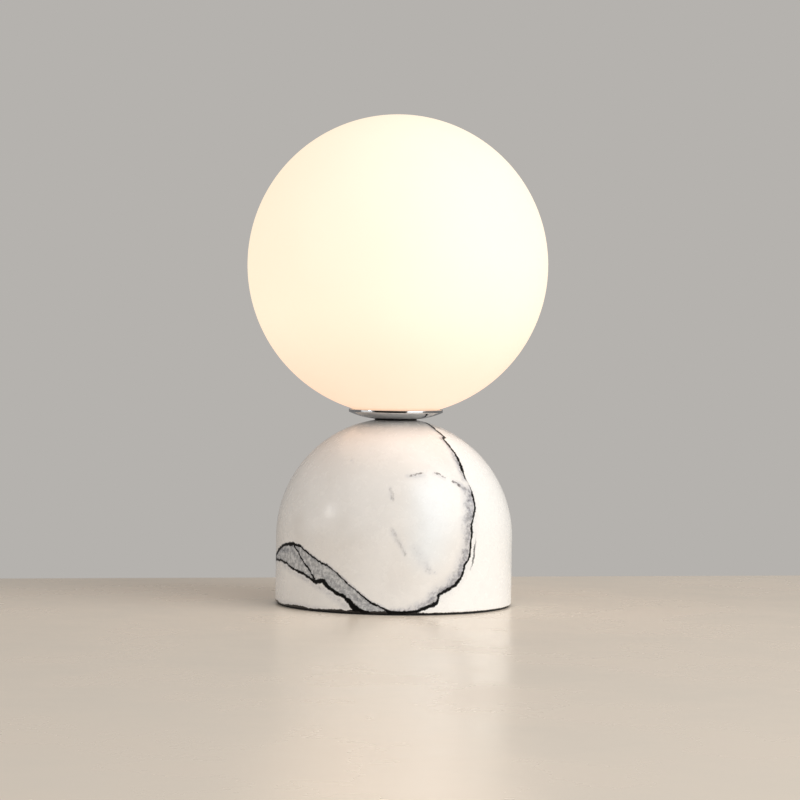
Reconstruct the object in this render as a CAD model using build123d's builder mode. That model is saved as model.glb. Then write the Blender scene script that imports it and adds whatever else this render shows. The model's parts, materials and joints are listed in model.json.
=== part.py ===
from build123d import *
from math import acos, degrees, pi, sqrt
import os

# Glass globe table lamp: a turned stone base, a chrome dish and an opal glass globe over a
# pin-base lamp. Millimetres, +Z up, origin at the centre of the underside, the front is -Y.

# ---------------------------------------------------------------- driving sizes: what shows
base_diameter = 118.0  # stone, across the straight side
base_side_height = 34.0  # table to the start of the dome
seat_diameter = 21.6  # flat on top of the stone
base_arris = 0.8  # rounding of the stone's lower edge
pad_thickness = 0.8
pad_inset = 1.0  # the pad's edge stands back from the stone's side
gasket_thickness = 0.7
gasket_diameter = 21.0
dish_diameter = 47.0
dish_foot_diameter = 22.0  # flat middle of the dish
dish_rise = 3.3  # underside of the rim over the foot
dish_curve = 37.0  # radius of the dish's underside
dish_sheet = 1.1  # thickness of the metal
dish_lip_width = 1.2  # the rim is turned up into a short lip
dish_lip_gap = 0.3  # between the lip's inner corner and the globe
dish_lip_rounding = 0.45
dish_edge_rounding = 0.3  # below the lip
globe_diameter = 150.0
globe_wall = 2.8
mouth_diameter = 35.0
mouth_rounding = 0.6

# ---------------------------------------------------------------- driving sizes: inside the stone
plate_margin = 11.0  # stone left outside the base plate
plate_thickness = 2.0
plate_land = 15.0  # where the plate bears, between its edge and the wiring space
cavity_depth = 36.6
anchor_count = 3
anchor_diameter = 6.8
anchor_length = 12.0
plate_screw_diameter = 4.0
plate_screw_head = 8.0
plate_screw_length = 11.0
inlet_height = 16.0  # centre of the cord inlet over the table
bush_barrel_diameter = 9.8
bush_barrel_length = 19.0
bush_flange_diameter = 13.0
bush_flange_thickness = 2.4
bush_bore_diameter = 6.4
bush_rounding = 0.8
spot_face_depth = 1.2  # flat for the bush's flange, below the stone's side

# ---------------------------------------------------------------- driving sizes: tube and its stacks
tube_diameter = 10.0
tube_bore = 7.2
tube_chamfer = 0.5
tube_below_nut = 3.4
tube_above_nut = 1.2
fibre_washer_diameter = 32.0
fibre_washer_thickness = 1.0
steel_washer_diameter = 30.0
steel_washer_thickness = 2.0
tag_thickness = 0.8
tag_ring_diameter = 16.0
tag_tab_width = 4.0
tag_barrel_diameter = 3.4
tag_barrel_bore = 2.2
tag_barrel_length = 5.5
tag_barrel_reach = 17.0  # axis of the tube to the barrel's open end
lock_washer_thickness = 0.8
lock_washer_diameter = 16.5
lock_washer_teeth = 12
lock_washer_notch = 1.4
nut_across_flats = 14.0
nut_height = 5.0
nut_chamfer = 0.5
top_nut_height = 3.0
end_bush_flange_diameter = 12.0
end_bush_flange_thickness = 1.4
end_bush_sleeve_length = 4.0
end_bush_wall = 0.6

# ---------------------------------------------------------------- driving sizes: collar, bracket, holder
collar_wall = 1.5
collar_height = 13.0
collar_foot_diameter = 20.8
collar_foot_height = 1.3
collar_chamfer = 0.5
vent_count = 8
vent_diameter = 3.0
seal_barrel_wall = 1.8
seal_lip = 0.9
seal_lip_reach = 3.0  # lips past the edge of the mouth
bracket_thickness = 1.0
bracket_width = 15.0
ear_width = 8.0
holder_diameter = 19.0
holder_flat_spacing = 16.0
holder_height = 22.0
holder_rounding = 0.8
lead_room = 6.5  # top of the tube to the underside of the holder
socket_length = 14.2
socket_width = 5.2
socket_depth = 7.0
pin_spacing = 9.0
chamber_length = 4.4
chamber_width = 4.2
chamber_depth = 10.5
contact_sheet = 0.4
contact_width = 3.4
contact_gap = 1.5  # between the two arms of a contact
contact_height = 8.0
holder_screw_diameter = 3.0
holder_screw_head = 5.4
holder_screw_head_height = 1.8
holder_screw_length = 5.0
holder_screw_height = 9.0  # over the underside of the holder

# ---------------------------------------------------------------- driving sizes: the lamp itself
bulb_diameter = 15.6
bulb_base_height = 10.0
bulb_straight_length = 24.0
bulb_wall = 0.9
bulb_rounding = 0.6
pin_wire = 0.9
pin_loop = 1.5  # between the centres of a loop's two legs
pin_reach = 6.5  # below the blade
pin_root = 3.2  # held in the blade
stalk_width = 5.0
stalk_height = 21.0
strip_width = 3.6
strip_thickness = 0.8
strip_length = 18.0

# ---------------------------------------------------------------- driving sizes: wiring
block_length = 27.0
block_width = 14.0
block_height = 13.0
block_rounding = 1.0
block_offset = 13.0  # centre of the block behind the tube's axis
terminal_pitch = 9.0
terminal_height = 5.5  # centre of the passages over the base plate
clamp_diameter = 4.4
clamp_bore = 3.0
clamp_length = 12.0
clamp_screw_diameter = 2.7
clamp_screw_head = 3.3
clamp_screw_head_height = 1.6
clamp_screw_spacing = 6.4
clamp_screw_sink = 0.6  # heads below the top of the block
block_screw_diameter = 3.0
block_screw_head = 5.0
block_screw_head_height = 2.0
lead_diameter = 2.0
lead_bend = 3.5
lead_spacing_in_tube = 3.2
lead_grip = 5.0  # length of lead inside a clamp
lead_forward_run = 7.0  # in front of the tube's axis, where the two leads turn up
lead_first_rise = 8.6
lead_rise_to_axis = 13.6
lead_turn_inset = 3.0
earth_forward_run = 24.0
earth_bend = 6.5

# ---------------------------------------------------------------- clearances
fit = 0.1  # round pieces that slide into each other
loose = 0.3  # pieces that come close and don't fit each other
seat_gap = 0.3  # between a resting piece that lifts off and its seat
bore_clearance = 0.6  # tube in the stone
slot_depth_share = 0.6  # depth of a screw's slot, of its head
slot_width = 0.9

# ---------------------------------------------------------------- heights that follow
base_radius = base_diameter / 2
seat_radius = seat_diameter / 2
stone_bottom = pad_thickness
seat_height = base_side_height + sqrt(base_radius**2 - seat_radius**2)
plate_seat = stone_bottom + plate_thickness + seat_gap
cavity_ceiling = plate_seat + cavity_depth
dish_bottom = seat_height + gasket_thickness
fibre_bottom = cavity_ceiling - fibre_washer_thickness
steel_bottom = fibre_bottom - steel_washer_thickness
tag_bottom = steel_bottom - tag_thickness
lock_bottom = tag_bottom - lock_washer_thickness
nut_bottom = lock_bottom - nut_height
tube_bottom = nut_bottom - tube_below_nut
tube_hole_radius = tube_diameter / 2 + fit

# The plate bears on a ring of stone, and its screws stand in the middle of that ring.
plate_radius = base_radius - plate_margin
cavity_radius = plate_radius - plate_land
anchor_circle_radius = (plate_radius + cavity_radius) / 2

# The dish's underside is an arc from its foot to its rim, and its upper face runs parallel.
foot_radius = dish_foot_diameter / 2
rim_radius = dish_diameter / 2
arc_run = rim_radius - foot_radius
arc_chord = sqrt(arc_run**2 + dish_rise**2)
arc_reach = sqrt(dish_curve**2 - (arc_chord / 2) ** 2)
arc_centre_radius = (foot_radius + rim_radius) / 2 - arc_reach * dish_rise / arc_chord
arc_centre_height = dish_bottom + dish_rise / 2 + arc_reach * arc_run / arc_chord


def dish_face(radius, depth):
    """Height of the dish's curved sheet at a radius, at a depth into the sheet from below."""
    drop = sqrt((dish_curve - depth) ** 2 - (radius - arc_centre_radius) ** 2)
    return arc_centre_height - drop


# The collar, the bracket and the lampholder stand on the flat middle of the dish.
dish_floor = dish_face(foot_radius, dish_sheet)
collar_shelf = dish_floor + collar_foot_height
collar_floor = collar_shelf + collar_wall
collar_top = collar_shelf + collar_height
bracket_top = collar_floor + bracket_thickness
top_nut_bottom = bracket_top + lock_washer_thickness
tube_top = top_nut_bottom + top_nut_height + tube_above_nut
holder_bottom = tube_top + lead_room
holder_top = holder_bottom + holder_height
socket_floor = holder_top - socket_depth
chamber_floor = socket_floor - chamber_depth
shoulder = holder_top + seat_gap
blade_bottom = socket_floor + seat_gap
bulb_base_top = shoulder + bulb_base_height

# The globe rests on the dish through the lower lip of its seal, which fixes its height.
globe_radius = globe_diameter / 2
globe_inside = globe_radius - globe_wall
mouth_radius = mouth_diameter / 2
lip_radius = mouth_radius + seal_lip_reach
lip_sphere = globe_radius + fit + seal_lip
inner_lip_sphere = globe_inside - fit - seal_lip
lip_seat = dish_face(lip_radius, dish_sheet) + seat_gap
globe_centre = lip_seat + sqrt(lip_sphere**2 - lip_radius**2)
dish_lip_inside = rim_radius - dish_lip_width
dish_lip_top = globe_centre - sqrt((globe_radius + dish_lip_gap) ** 2 - dish_lip_inside**2)
seal_bore_radius = mouth_radius - fit - seal_barrel_wall
collar_radius = seal_bore_radius - fit
collar_inside = collar_radius - collar_wall

# Where the wiring goes
terminal_level = plate_seat + terminal_height
block_top = plate_seat + block_height
clamp_places = [(x * terminal_pitch, block_offset) for x in (-1, 0, 1)]
tag_barrel_level = tag_bottom - tag_barrel_diameter / 2 + tag_thickness / 2
inlet_start = (0, base_radius - spot_face_depth, inlet_height)
inlet_plane = Plane(origin=inlet_start, x_dir=(-1, 0, 0), z_dir=(0, 1, 0))

os.makedirs("parts", exist_ok=True)


def finish(piece, name):
    """Labels a finished piece and writes it."""
    piece.part.label = name
    export_step(piece.part, f"parts/{name}.step")
    print(name, "solids", len(piece.part.solids()), "volume", round(piece.part.volume, 1))


def rings(piece, radius):
    """The round edges of a piece that have this radius."""
    round_edges = piece.edges().filter_by(GeomType.CIRCLE)
    return ShapeList(edge for edge in round_edges if abs(edge.radius - radius) < 1e-4)


def ring_outline(outer_radius, inner_radius):
    """A washer's outline in the sketch that is open."""
    Circle(outer_radius)
    Circle(inner_radius, mode=Mode.SUBTRACT)


# ---------------------------------------------------------------- stone base and what closes it
with BuildPart() as foot_pad:
    with BuildSketch():
        Circle(base_radius - pad_inset)
    extrude(amount=pad_thickness)
finish(foot_pad, "foot_pad")

with BuildPart() as marble_base:
    with BuildSketch(Plane.XZ):
        with BuildLine():
            dome_sweep = degrees(acos(seat_radius / base_radius))
            dome = CenterArc((0, base_side_height), base_radius, 0, dome_sweep)
            Polyline(
                dome @ 1,
                (0, seat_height),
                (0, stone_bottom),
                (base_radius, stone_bottom),
                dome @ 0,
            )
        make_face()
    revolve(axis=Axis.Z)
    fillet(marble_base.edges().sort_by(Axis.Z)[0], radius=base_arris)
    with BuildSketch(Plane.XY.offset(stone_bottom)):
        Circle(plate_radius + loose)
    extrude(amount=plate_seat - stone_bottom, mode=Mode.SUBTRACT)
    with BuildSketch(Plane.XY.offset(plate_seat)):
        Circle(cavity_radius)
    extrude(amount=cavity_depth, mode=Mode.SUBTRACT)
    with BuildSketch(Plane.XY.offset(plate_seat)):
        with PolarLocations(anchor_circle_radius, anchor_count, start_angle=-90):
            Circle(anchor_diameter / 2 + fit)
    extrude(amount=anchor_length, mode=Mode.SUBTRACT)
    with BuildSketch(Plane.XY.offset(cavity_ceiling)):
        Circle(tube_diameter / 2 + bore_clearance)
    extrude(amount=seat_height - cavity_ceiling, mode=Mode.SUBTRACT)
    with BuildSketch(inlet_plane):
        Circle(bush_flange_diameter / 2 + loose)
    extrude(amount=spot_face_depth, mode=Mode.SUBTRACT)
    with BuildSketch(inlet_plane):
        Circle(bush_barrel_diameter / 2 + fit)
    extrude(amount=-(base_radius - spot_face_depth), mode=Mode.SUBTRACT)
finish(marble_base, "marble_base")

with BuildPart() as cord_bush:
    with BuildSketch(inlet_plane):
        Circle(bush_flange_diameter / 2)
    extrude(amount=bush_flange_thickness)
    fillet(cord_bush.edges().sort_by(Axis.Y)[-1], radius=bush_rounding)
    with BuildSketch(inlet_plane):
        Circle(bush_barrel_diameter / 2)
    extrude(amount=-bush_barrel_length)
    with BuildSketch(inlet_plane.offset(bush_flange_thickness)):
        Circle(bush_bore_diameter / 2)
    extrude(amount=-(bush_flange_thickness + bush_barrel_length), mode=Mode.SUBTRACT)
    fillet(rings(cord_bush, bush_bore_diameter / 2).sort_by(Axis.Y)[-1], radius=bush_rounding)
finish(cord_bush, "cord_bush")

plate_bottom = (0, 0, plate_seat - plate_thickness)
plate_underside = Plane(origin=plate_bottom, x_dir=(1, 0, 0), z_dir=(0, 0, -1))

with BuildPart() as base_plate:
    with BuildSketch(Plane.XY.offset(plate_seat)):
        Circle(plate_radius)
    extrude(amount=-plate_thickness)
    with Locations(plate_underside):
        with PolarLocations(anchor_circle_radius, anchor_count, start_angle=90):
            CounterSinkHole(
                radius=plate_screw_diameter / 2 + fit,
                counter_sink_radius=plate_screw_head / 2 + fit,
                counter_sink_angle=90,
            )
    with BuildSketch(Plane.XY.offset(plate_seat)):
        with Locations((0, block_offset)):
            with GridLocations(terminal_pitch, 0, 2, 1):
                Circle(block_screw_diameter / 2 + fit)
    extrude(amount=-plate_thickness, mode=Mode.SUBTRACT)
finish(base_plate, "base_plate")

with BuildPart() as one_plate_screw:
    with BuildSketch(Plane.XZ):
        with BuildLine():
            Polyline(
                (0, 0),
                (plate_screw_head / 2, 0),
                (plate_screw_diameter / 2, (plate_screw_head - plate_screw_diameter) / 2),
                (plate_screw_diameter / 2, plate_screw_length),
                (0, plate_screw_length),
                (0, 0),
            )
        make_face()
    revolve(axis=Axis.Z)
    with BuildSketch():
        Rectangle(plate_screw_head * slot_depth_share, slot_width)
        Rectangle(slot_width, plate_screw_head * slot_depth_share)
    extrude(amount=slot_width, mode=Mode.SUBTRACT)

with BuildPart() as base_plate_screws:
    with Locations(plate_bottom):
        with PolarLocations(anchor_circle_radius, anchor_count, start_angle=-90):
            add(one_plate_screw.part)
finish(base_plate_screws, "base_plate_screws")

with BuildPart() as stone_anchors:
    with BuildSketch(Plane.XY.offset(plate_seat)):
        with PolarLocations(anchor_circle_radius, anchor_count, start_angle=-90):
            Circle(anchor_diameter / 2)
            Circle(plate_screw_diameter / 2 + fit, mode=Mode.SUBTRACT)
    extrude(amount=anchor_length)
finish(stone_anchors, "stone_anchors")

# ---------------------------------------------------------------- tube and the stack inside the stone
with BuildPart() as threaded_tube:
    with BuildSketch(Plane.XY.offset(tube_bottom)):
        ring_outline(tube_diameter / 2, tube_bore / 2)
    extrude(amount=tube_top - tube_bottom)
    chamfer(rings(threaded_tube, tube_diameter / 2), length=tube_chamfer)
finish(threaded_tube, "threaded_tube")

with BuildPart() as tube_end_bush:
    with BuildSketch(Plane.XY.offset(tube_bottom)):
        ring_outline(end_bush_flange_diameter / 2, tube_bore / 2 - fit - end_bush_wall)
    extrude(amount=-end_bush_flange_thickness)
    with BuildSketch(Plane.XY.offset(tube_bottom)):
        ring_outline(tube_bore / 2 - fit, tube_bore / 2 - fit - end_bush_wall)
    extrude(amount=end_bush_sleeve_length)
finish(tube_end_bush, "tube_end_bush")

with BuildPart() as fibre_washer:
    with BuildSketch(Plane.XY.offset(fibre_bottom)):
        ring_outline(fibre_washer_diameter / 2, tube_hole_radius)
    extrude(amount=fibre_washer_thickness)
finish(fibre_washer, "fibre_washer")

with BuildPart() as steel_washer:
    with BuildSketch(Plane.XY.offset(steel_bottom)):
        ring_outline(steel_washer_diameter / 2, tube_hole_radius)
    extrude(amount=steel_washer_thickness)
finish(steel_washer, "steel_washer")

with BuildPart() as earth_tag:
    with BuildSketch(Plane.XY.offset(tag_bottom)):
        Circle(tag_ring_diameter / 2)
        with Locations((0, -tag_barrel_reach / 2)):
            Rectangle(tag_tab_width, tag_barrel_reach)
        Circle(tube_hole_radius, mode=Mode.SUBTRACT)
    extrude(amount=tag_thickness)
    with BuildSketch(Plane.XZ.offset(tag_barrel_reach)):
        with Locations((0, tag_barrel_level)):
            Circle(tag_barrel_diameter / 2)
    extrude(amount=-tag_barrel_length)
    with BuildSketch(Plane.XZ.offset(tag_barrel_reach)):
        with Locations((0, tag_barrel_level)):
            Circle(tag_barrel_bore / 2)
    extrude(amount=-tag_barrel_length, mode=Mode.SUBTRACT)
finish(earth_tag, "earth_tag")

with BuildPart() as lock_washer:
    with BuildSketch(Plane.XY.offset(lock_bottom)):
        ring_outline(lock_washer_diameter / 2, tube_hole_radius)
        with PolarLocations(lock_washer_diameter / 2, lock_washer_teeth):
            Rectangle(lock_washer_notch * 2, lock_washer_notch, mode=Mode.SUBTRACT)
    extrude(amount=lock_washer_thickness)
finish(lock_washer, "lock_washer")

with BuildPart() as tube_nut:
    with BuildSketch(Plane.XY.offset(nut_bottom)):
        RegularPolygon(nut_across_flats / 2, 6, major_radius=False)
        Circle(tube_hole_radius, mode=Mode.SUBTRACT)
    extrude(amount=nut_height)
    chamfer(rings(tube_nut, tube_hole_radius), length=nut_chamfer)
finish(tube_nut, "tube_nut")

# ---------------------------------------------------------------- gasket, dish and the collar's stack
with BuildPart() as seat_gasket:
    with BuildSketch(Plane.XY.offset(seat_height)):
        ring_outline(gasket_diameter / 2, tube_hole_radius)
    extrude(amount=gasket_thickness)
finish(seat_gasket, "seat_gasket")

with BuildPart() as chrome_dish:
    with BuildSketch(Plane.XZ):
        with BuildLine():
            rim_bottom = (rim_radius, dish_bottom + dish_rise)
            underside = RadiusArc((foot_radius, dish_bottom), rim_bottom, -dish_curve)
            lip_foot = (dish_lip_inside, dish_face(dish_lip_inside, dish_sheet))
            floor_edge = (foot_radius, dish_floor)
            upper_face = RadiusArc(floor_edge, lip_foot, -(dish_curve - dish_sheet))
            Polyline(
                underside @ 1,
                (rim_radius, dish_lip_top),
                (dish_lip_inside, dish_lip_top),
                upper_face @ 1,
            )
            Polyline(
                upper_face @ 0,
                (tube_hole_radius, dish_floor),
                (tube_hole_radius, dish_bottom),
                underside @ 0,
            )
        make_face()
    revolve(axis=Axis.Z)
    lip_edges = rings(chrome_dish, rim_radius).sort_by(Axis.Z)
    fillet(lip_edges[0], radius=dish_edge_rounding)
    lip_top_edges = chrome_dish.edges().group_by(Axis.Z)[-1]
    fillet(lip_top_edges, radius=dish_lip_rounding)
finish(chrome_dish, "chrome_dish")

with BuildPart() as globe_collar:
    with BuildSketch(Plane.XZ):
        with BuildLine():
            Polyline(
                (tube_hole_radius, dish_floor),
                (collar_foot_diameter / 2, dish_floor),
                (collar_foot_diameter / 2, collar_shelf),
                (collar_radius, collar_shelf),
                (collar_radius, collar_top),
                (collar_inside, collar_top),
                (collar_inside, collar_floor),
                (tube_hole_radius, collar_floor),
                (tube_hole_radius, dish_floor),
            )
        make_face()
    revolve(axis=Axis.Z)
    chamfer(rings(globe_collar, collar_radius).sort_by(Axis.Z)[-1], length=collar_chamfer)
    with Locations((0, 0, (collar_floor + collar_top) / 2)):
        with PolarLocations(collar_radius - collar_wall / 2, vent_count):
            Cylinder(
                vent_diameter / 2,
                2 * collar_wall,
                rotation=(0, 90, 0),
                mode=Mode.SUBTRACT,
            )
finish(globe_collar, "globe_collar")

ear_inner = holder_flat_spacing / 2
ear_top = holder_bottom + holder_screw_height + ear_width / 2

with BuildPart() as holder_bracket:
    with BuildSketch(Plane.XY.offset(collar_floor)):
        Rectangle(bracket_width, 2 * (ear_inner + bracket_thickness))
    extrude(amount=bracket_thickness)
    with BuildSketch(Plane.XY.offset(collar_floor)):
        with GridLocations(0, 2 * ear_inner + bracket_thickness, 1, 2):
            Rectangle(ear_width, bracket_thickness)
    extrude(amount=ear_top - collar_floor)
    with Locations((0, 0, bracket_top)):
        Hole(tube_hole_radius)
    with Locations((0, 0, holder_bottom + holder_screw_height)):
        Cylinder(
            holder_screw_diameter / 2 + fit,
            4 * ear_inner,
            rotation=(90, 0, 0),
            mode=Mode.SUBTRACT,
        )
finish(holder_bracket, "holder_bracket")

with BuildPart() as top_lock_washer:
    with BuildSketch(Plane.XY.offset(bracket_top)):
        ring_outline(nut_across_flats / 2, tube_hole_radius)
    extrude(amount=lock_washer_thickness)
finish(top_lock_washer, "top_lock_washer")

with BuildPart() as top_nut:
    with BuildSketch(Plane.XY.offset(top_nut_bottom)):
        RegularPolygon(nut_across_flats / 2, 6, major_radius=False)
        Circle(tube_hole_radius, mode=Mode.SUBTRACT)
    extrude(amount=top_nut_height)
    chamfer(rings(top_nut, tube_hole_radius), length=nut_chamfer)
finish(top_nut, "top_nut")

# ---------------------------------------------------------------- lampholder
with BuildPart() as lampholder_body:
    with BuildSketch(Plane.XY.offset(holder_bottom)):
        Circle(holder_diameter / 2)
        Rectangle(holder_diameter, holder_flat_spacing, mode=Mode.INTERSECT)
    extrude(amount=holder_height)
    fillet(lampholder_body.faces().sort_by(Axis.Z)[-1].edges(), radius=holder_rounding)
    with BuildSketch(Plane.XY.offset(holder_top)):
        SlotOverall(socket_length, socket_width)
    extrude(amount=-socket_depth, mode=Mode.SUBTRACT)
    with BuildSketch(Plane.XY.offset(socket_floor)):
        with GridLocations(pin_spacing, 0, 2, 1):
            Rectangle(chamber_length, chamber_width)
    extrude(amount=-chamber_depth, mode=Mode.SUBTRACT)
    with BuildSketch(Plane.XY.offset(holder_bottom)):
        with GridLocations(pin_spacing, 0, 2, 1):
            Circle(lead_diameter / 2 + fit)
    extrude(amount=chamber_floor - holder_bottom, mode=Mode.SUBTRACT)
    with Locations((0, 0, holder_bottom + holder_screw_height)):
        with GridLocations(0, holder_flat_spacing, 1, 2):
            Cylinder(
                holder_screw_diameter / 2 + fit,
                2 * holder_screw_length,
                rotation=(90, 0, 0),
                mode=Mode.SUBTRACT,
            )
finish(lampholder_body, "lampholder_body")

arm_offset = (contact_gap + contact_sheet) / 2

with BuildPart() as lampholder_contacts:
    with BuildSketch(Plane.XY.offset(chamber_floor)):
        with GridLocations(pin_spacing, 0, 2, 1):
            Rectangle(contact_width, contact_gap + 2 * contact_sheet)
    extrude(amount=contact_sheet)
    with BuildSketch(Plane.XY.offset(chamber_floor)):
        with GridLocations(pin_spacing, 2 * arm_offset, 2, 2):
            Rectangle(contact_width, contact_sheet)
    extrude(amount=contact_height)
finish(lampholder_contacts, "lampholder_contacts")

with BuildPart() as one_holder_screw:
    Cylinder(
        holder_screw_diameter / 2,
        holder_screw_length,
        align=(Align.CENTER, Align.CENTER, Align.MAX),
    )
    Cylinder(
        holder_screw_head / 2,
        holder_screw_head_height,
        align=(Align.CENTER, Align.CENTER, Align.MIN),
    )
    fillet(one_holder_screw.edges().sort_by(Axis.Z)[-1], radius=holder_screw_head_height / 2)
    with BuildSketch(Plane.XY.offset(holder_screw_head_height)):
        Rectangle(holder_screw_head, slot_width)
    extrude(amount=-holder_screw_head_height * slot_depth_share, mode=Mode.SUBTRACT)

ear_outer = ear_inner + bracket_thickness
screw_level = holder_bottom + holder_screw_height

with BuildPart() as holder_screws:
    for side in (-1, 1):
        head_place = (0, side * ear_outer, screw_level)
        head_plane = Plane(origin=head_place, x_dir=(1, 0, 0), z_dir=(0, side, 0))
        with Locations(head_plane):
            add(one_holder_screw.part)
finish(holder_screws, "holder_screws")

# ---------------------------------------------------------------- the lamp in the holder
with BuildPart() as bulb_base:
    with BuildSketch(Plane.XY.offset(shoulder)):
        Circle(bulb_diameter / 2)
    extrude(amount=bulb_base_height)
    fillet(bulb_base.edges().sort_by(Axis.Z)[0], radius=bulb_rounding)
    with BuildSketch(Plane.XY.offset(blade_bottom)):
        SlotOverall(socket_length - 2 * loose, socket_width - 2 * loose)
    extrude(amount=shoulder + bulb_rounding - blade_bottom)
    with BuildSketch(Plane.XY.offset(blade_bottom)):
        with GridLocations(pin_spacing, 0, 2, 1):
            with GridLocations(pin_loop, 0, 2, 1):
                Circle((pin_wire + fit) / 2)
    extrude(amount=pin_root, mode=Mode.SUBTRACT)
finish(bulb_base, "bulb_base")

leg_bottom = blade_bottom - pin_reach + (pin_wire + pin_loop) / 2

with BuildPart() as one_pin:
    with BuildLine(Plane.XZ):
        leg = Line((-pin_loop / 2, blade_bottom + pin_root), (-pin_loop / 2, leg_bottom))
        turn = RadiusArc(leg @ 1, (pin_loop / 2, leg_bottom), -pin_loop / 2)
        Line(turn @ 1, (pin_loop / 2, blade_bottom + pin_root))
    with BuildSketch(Plane(origin=leg @ 0, z_dir=leg % 0)):
        Circle(pin_wire / 2)
    sweep()

with BuildPart() as bulb_pins:
    with GridLocations(pin_spacing, 0, 2, 1):
        add(one_pin.part)
finish(bulb_pins, "bulb_pins")

bulb_inside = bulb_diameter / 2 - bulb_wall
dome_start = bulb_base_top + bulb_straight_length

with BuildPart() as bulb_envelope:
    with BuildSketch(Plane.XY.offset(bulb_base_top)):
        Circle(bulb_diameter / 2)
    extrude(amount=bulb_straight_length)
    with Locations((0, 0, dome_start)):
        Sphere(bulb_diameter / 2)
    with BuildSketch(Plane.XY.offset(bulb_base_top)):
        Circle(bulb_inside)
    extrude(amount=bulb_straight_length, mode=Mode.SUBTRACT)
    with Locations((0, 0, dome_start)):
        Sphere(bulb_inside, mode=Mode.SUBTRACT)
finish(bulb_envelope, "bulb_envelope")

with BuildPart() as led_stalk:
    with BuildSketch(Plane.XY.offset(bulb_base_top)):
        Rectangle(stalk_width, stalk_width)
    extrude(amount=stalk_height)
    chamfer(led_stalk.edges().filter_by(Axis.Z), length=slot_width / 2)
finish(led_stalk, "led_stalk")

with BuildPart() as led_strips:
    with BuildSketch(Plane.XY.offset(bulb_base_top + (stalk_height - strip_length) / 2)):
        with PolarLocations((stalk_width + strip_thickness) / 2, 4):
            Rectangle(strip_thickness, strip_width)
    extrude(amount=strip_length)
finish(led_strips, "led_strips")

# ---------------------------------------------------------------- globe and its seal
with BuildPart() as glass_globe:
    with BuildSketch(Plane.XZ):
        with Locations((0, globe_centre)):
            Circle(globe_radius)
            Circle(globe_inside, mode=Mode.SUBTRACT)
        with Locations((0, globe_centre)):
            Rectangle(
                globe_radius,
                2 * globe_radius,
                align=(Align.MIN, Align.CENTER),
                mode=Mode.INTERSECT,
            )
            Rectangle(
                mouth_radius,
                globe_radius,
                align=(Align.MIN, Align.MAX),
                mode=Mode.SUBTRACT,
            )
    revolve(axis=Axis.Z)
    fillet(rings(glass_globe, mouth_radius), radius=mouth_rounding)
finish(glass_globe, "glass_globe")

lip_width = lip_radius - seal_bore_radius

with BuildPart() as globe_seal:
    with BuildSketch(Plane.XZ):
        with Locations((0, globe_centre)):
            Circle(lip_sphere)
            Circle(inner_lip_sphere, mode=Mode.SUBTRACT)
        with Locations((seal_bore_radius, globe_centre)):
            Rectangle(
                lip_width,
                2 * globe_radius,
                align=(Align.MIN, Align.MAX),
                mode=Mode.INTERSECT,
            )
    revolve(axis=Axis.Z)
    with BuildSketch(Plane.XZ):
        with Locations((0, globe_centre)):
            Circle(globe_radius + fit)
            Circle(globe_inside - fit, mode=Mode.SUBTRACT)
        with Locations((mouth_radius - fit, globe_centre)):
            Rectangle(
                globe_radius,
                2 * globe_radius,
                align=(Align.MIN, Align.MAX),
                mode=Mode.INTERSECT,
            )
    revolve(axis=Axis.Z, mode=Mode.SUBTRACT)
    fillet(rings(globe_seal, lip_radius).sort_by(Axis.Z)[0], radius=seal_lip / 3)
finish(globe_seal, "globe_seal")

# ---------------------------------------------------------------- wiring inside the stone
with BuildPart() as terminal_block:
    with BuildSketch(Plane.XY.offset(plate_seat)):
        with Locations((0, block_offset)):
            RectangleRounded(block_length, block_width, block_rounding)
    extrude(amount=block_height)
    with Locations(*[(x, y, terminal_level) for x, y in clamp_places]):
        Cylinder(
            clamp_diameter / 2 + fit,
            2 * block_width,
            rotation=(90, 0, 0),
            mode=Mode.SUBTRACT,
        )
    with BuildSketch(Plane.XY.offset(block_top)):
        with Locations(*clamp_places):
            with GridLocations(0, clamp_screw_spacing, 1, 2):
                Circle(clamp_screw_head / 2 + fit)
    extrude(amount=terminal_level - block_top, mode=Mode.SUBTRACT)
    with BuildSketch(Plane.XY.offset(block_top)):
        with Locations((0, block_offset)):
            with GridLocations(terminal_pitch, 0, 2, 1):
                Circle(block_screw_diameter / 2 + fit)
    extrude(amount=-block_height, mode=Mode.SUBTRACT)
finish(terminal_block, "terminal_block")

with BuildPart() as terminal_clamps:
    with Locations(*[(x, y, terminal_level) for x, y in clamp_places]):
        Cylinder(clamp_diameter / 2, clamp_length, rotation=(90, 0, 0))
        Cylinder(
            clamp_bore / 2,
            clamp_length,
            rotation=(90, 0, 0),
            mode=Mode.SUBTRACT,
        )
    with BuildSketch(Plane.XY.offset(terminal_level)):
        with Locations(*clamp_places):
            with GridLocations(0, clamp_screw_spacing, 1, 2):
                Circle(clamp_screw_diameter / 2 + fit)
    extrude(amount=clamp_diameter, mode=Mode.SUBTRACT)
finish(terminal_clamps, "terminal_clamps")

clamp_screw_tip = terminal_level + lead_diameter / 2 + fit
clamp_screw_top = block_top - clamp_screw_sink

with BuildPart() as one_clamp_screw:
    with BuildSketch(Plane.XY.offset(clamp_screw_tip)):
        Circle(clamp_screw_diameter / 2)
    extrude(amount=clamp_screw_top - clamp_screw_tip)
    with BuildSketch(Plane.XY.offset(clamp_screw_top)):
        Circle(clamp_screw_head / 2)
    extrude(amount=-clamp_screw_head_height)
    with BuildSketch(Plane.XY.offset(clamp_screw_top)):
        Rectangle(clamp_screw_head, slot_width)
    extrude(amount=-clamp_screw_head_height * slot_depth_share, mode=Mode.SUBTRACT)

with BuildPart() as terminal_screws:
    with Locations(*clamp_places):
        with GridLocations(0, clamp_screw_spacing, 1, 2):
            add(one_clamp_screw.part)
finish(terminal_screws, "terminal_screws")

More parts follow.
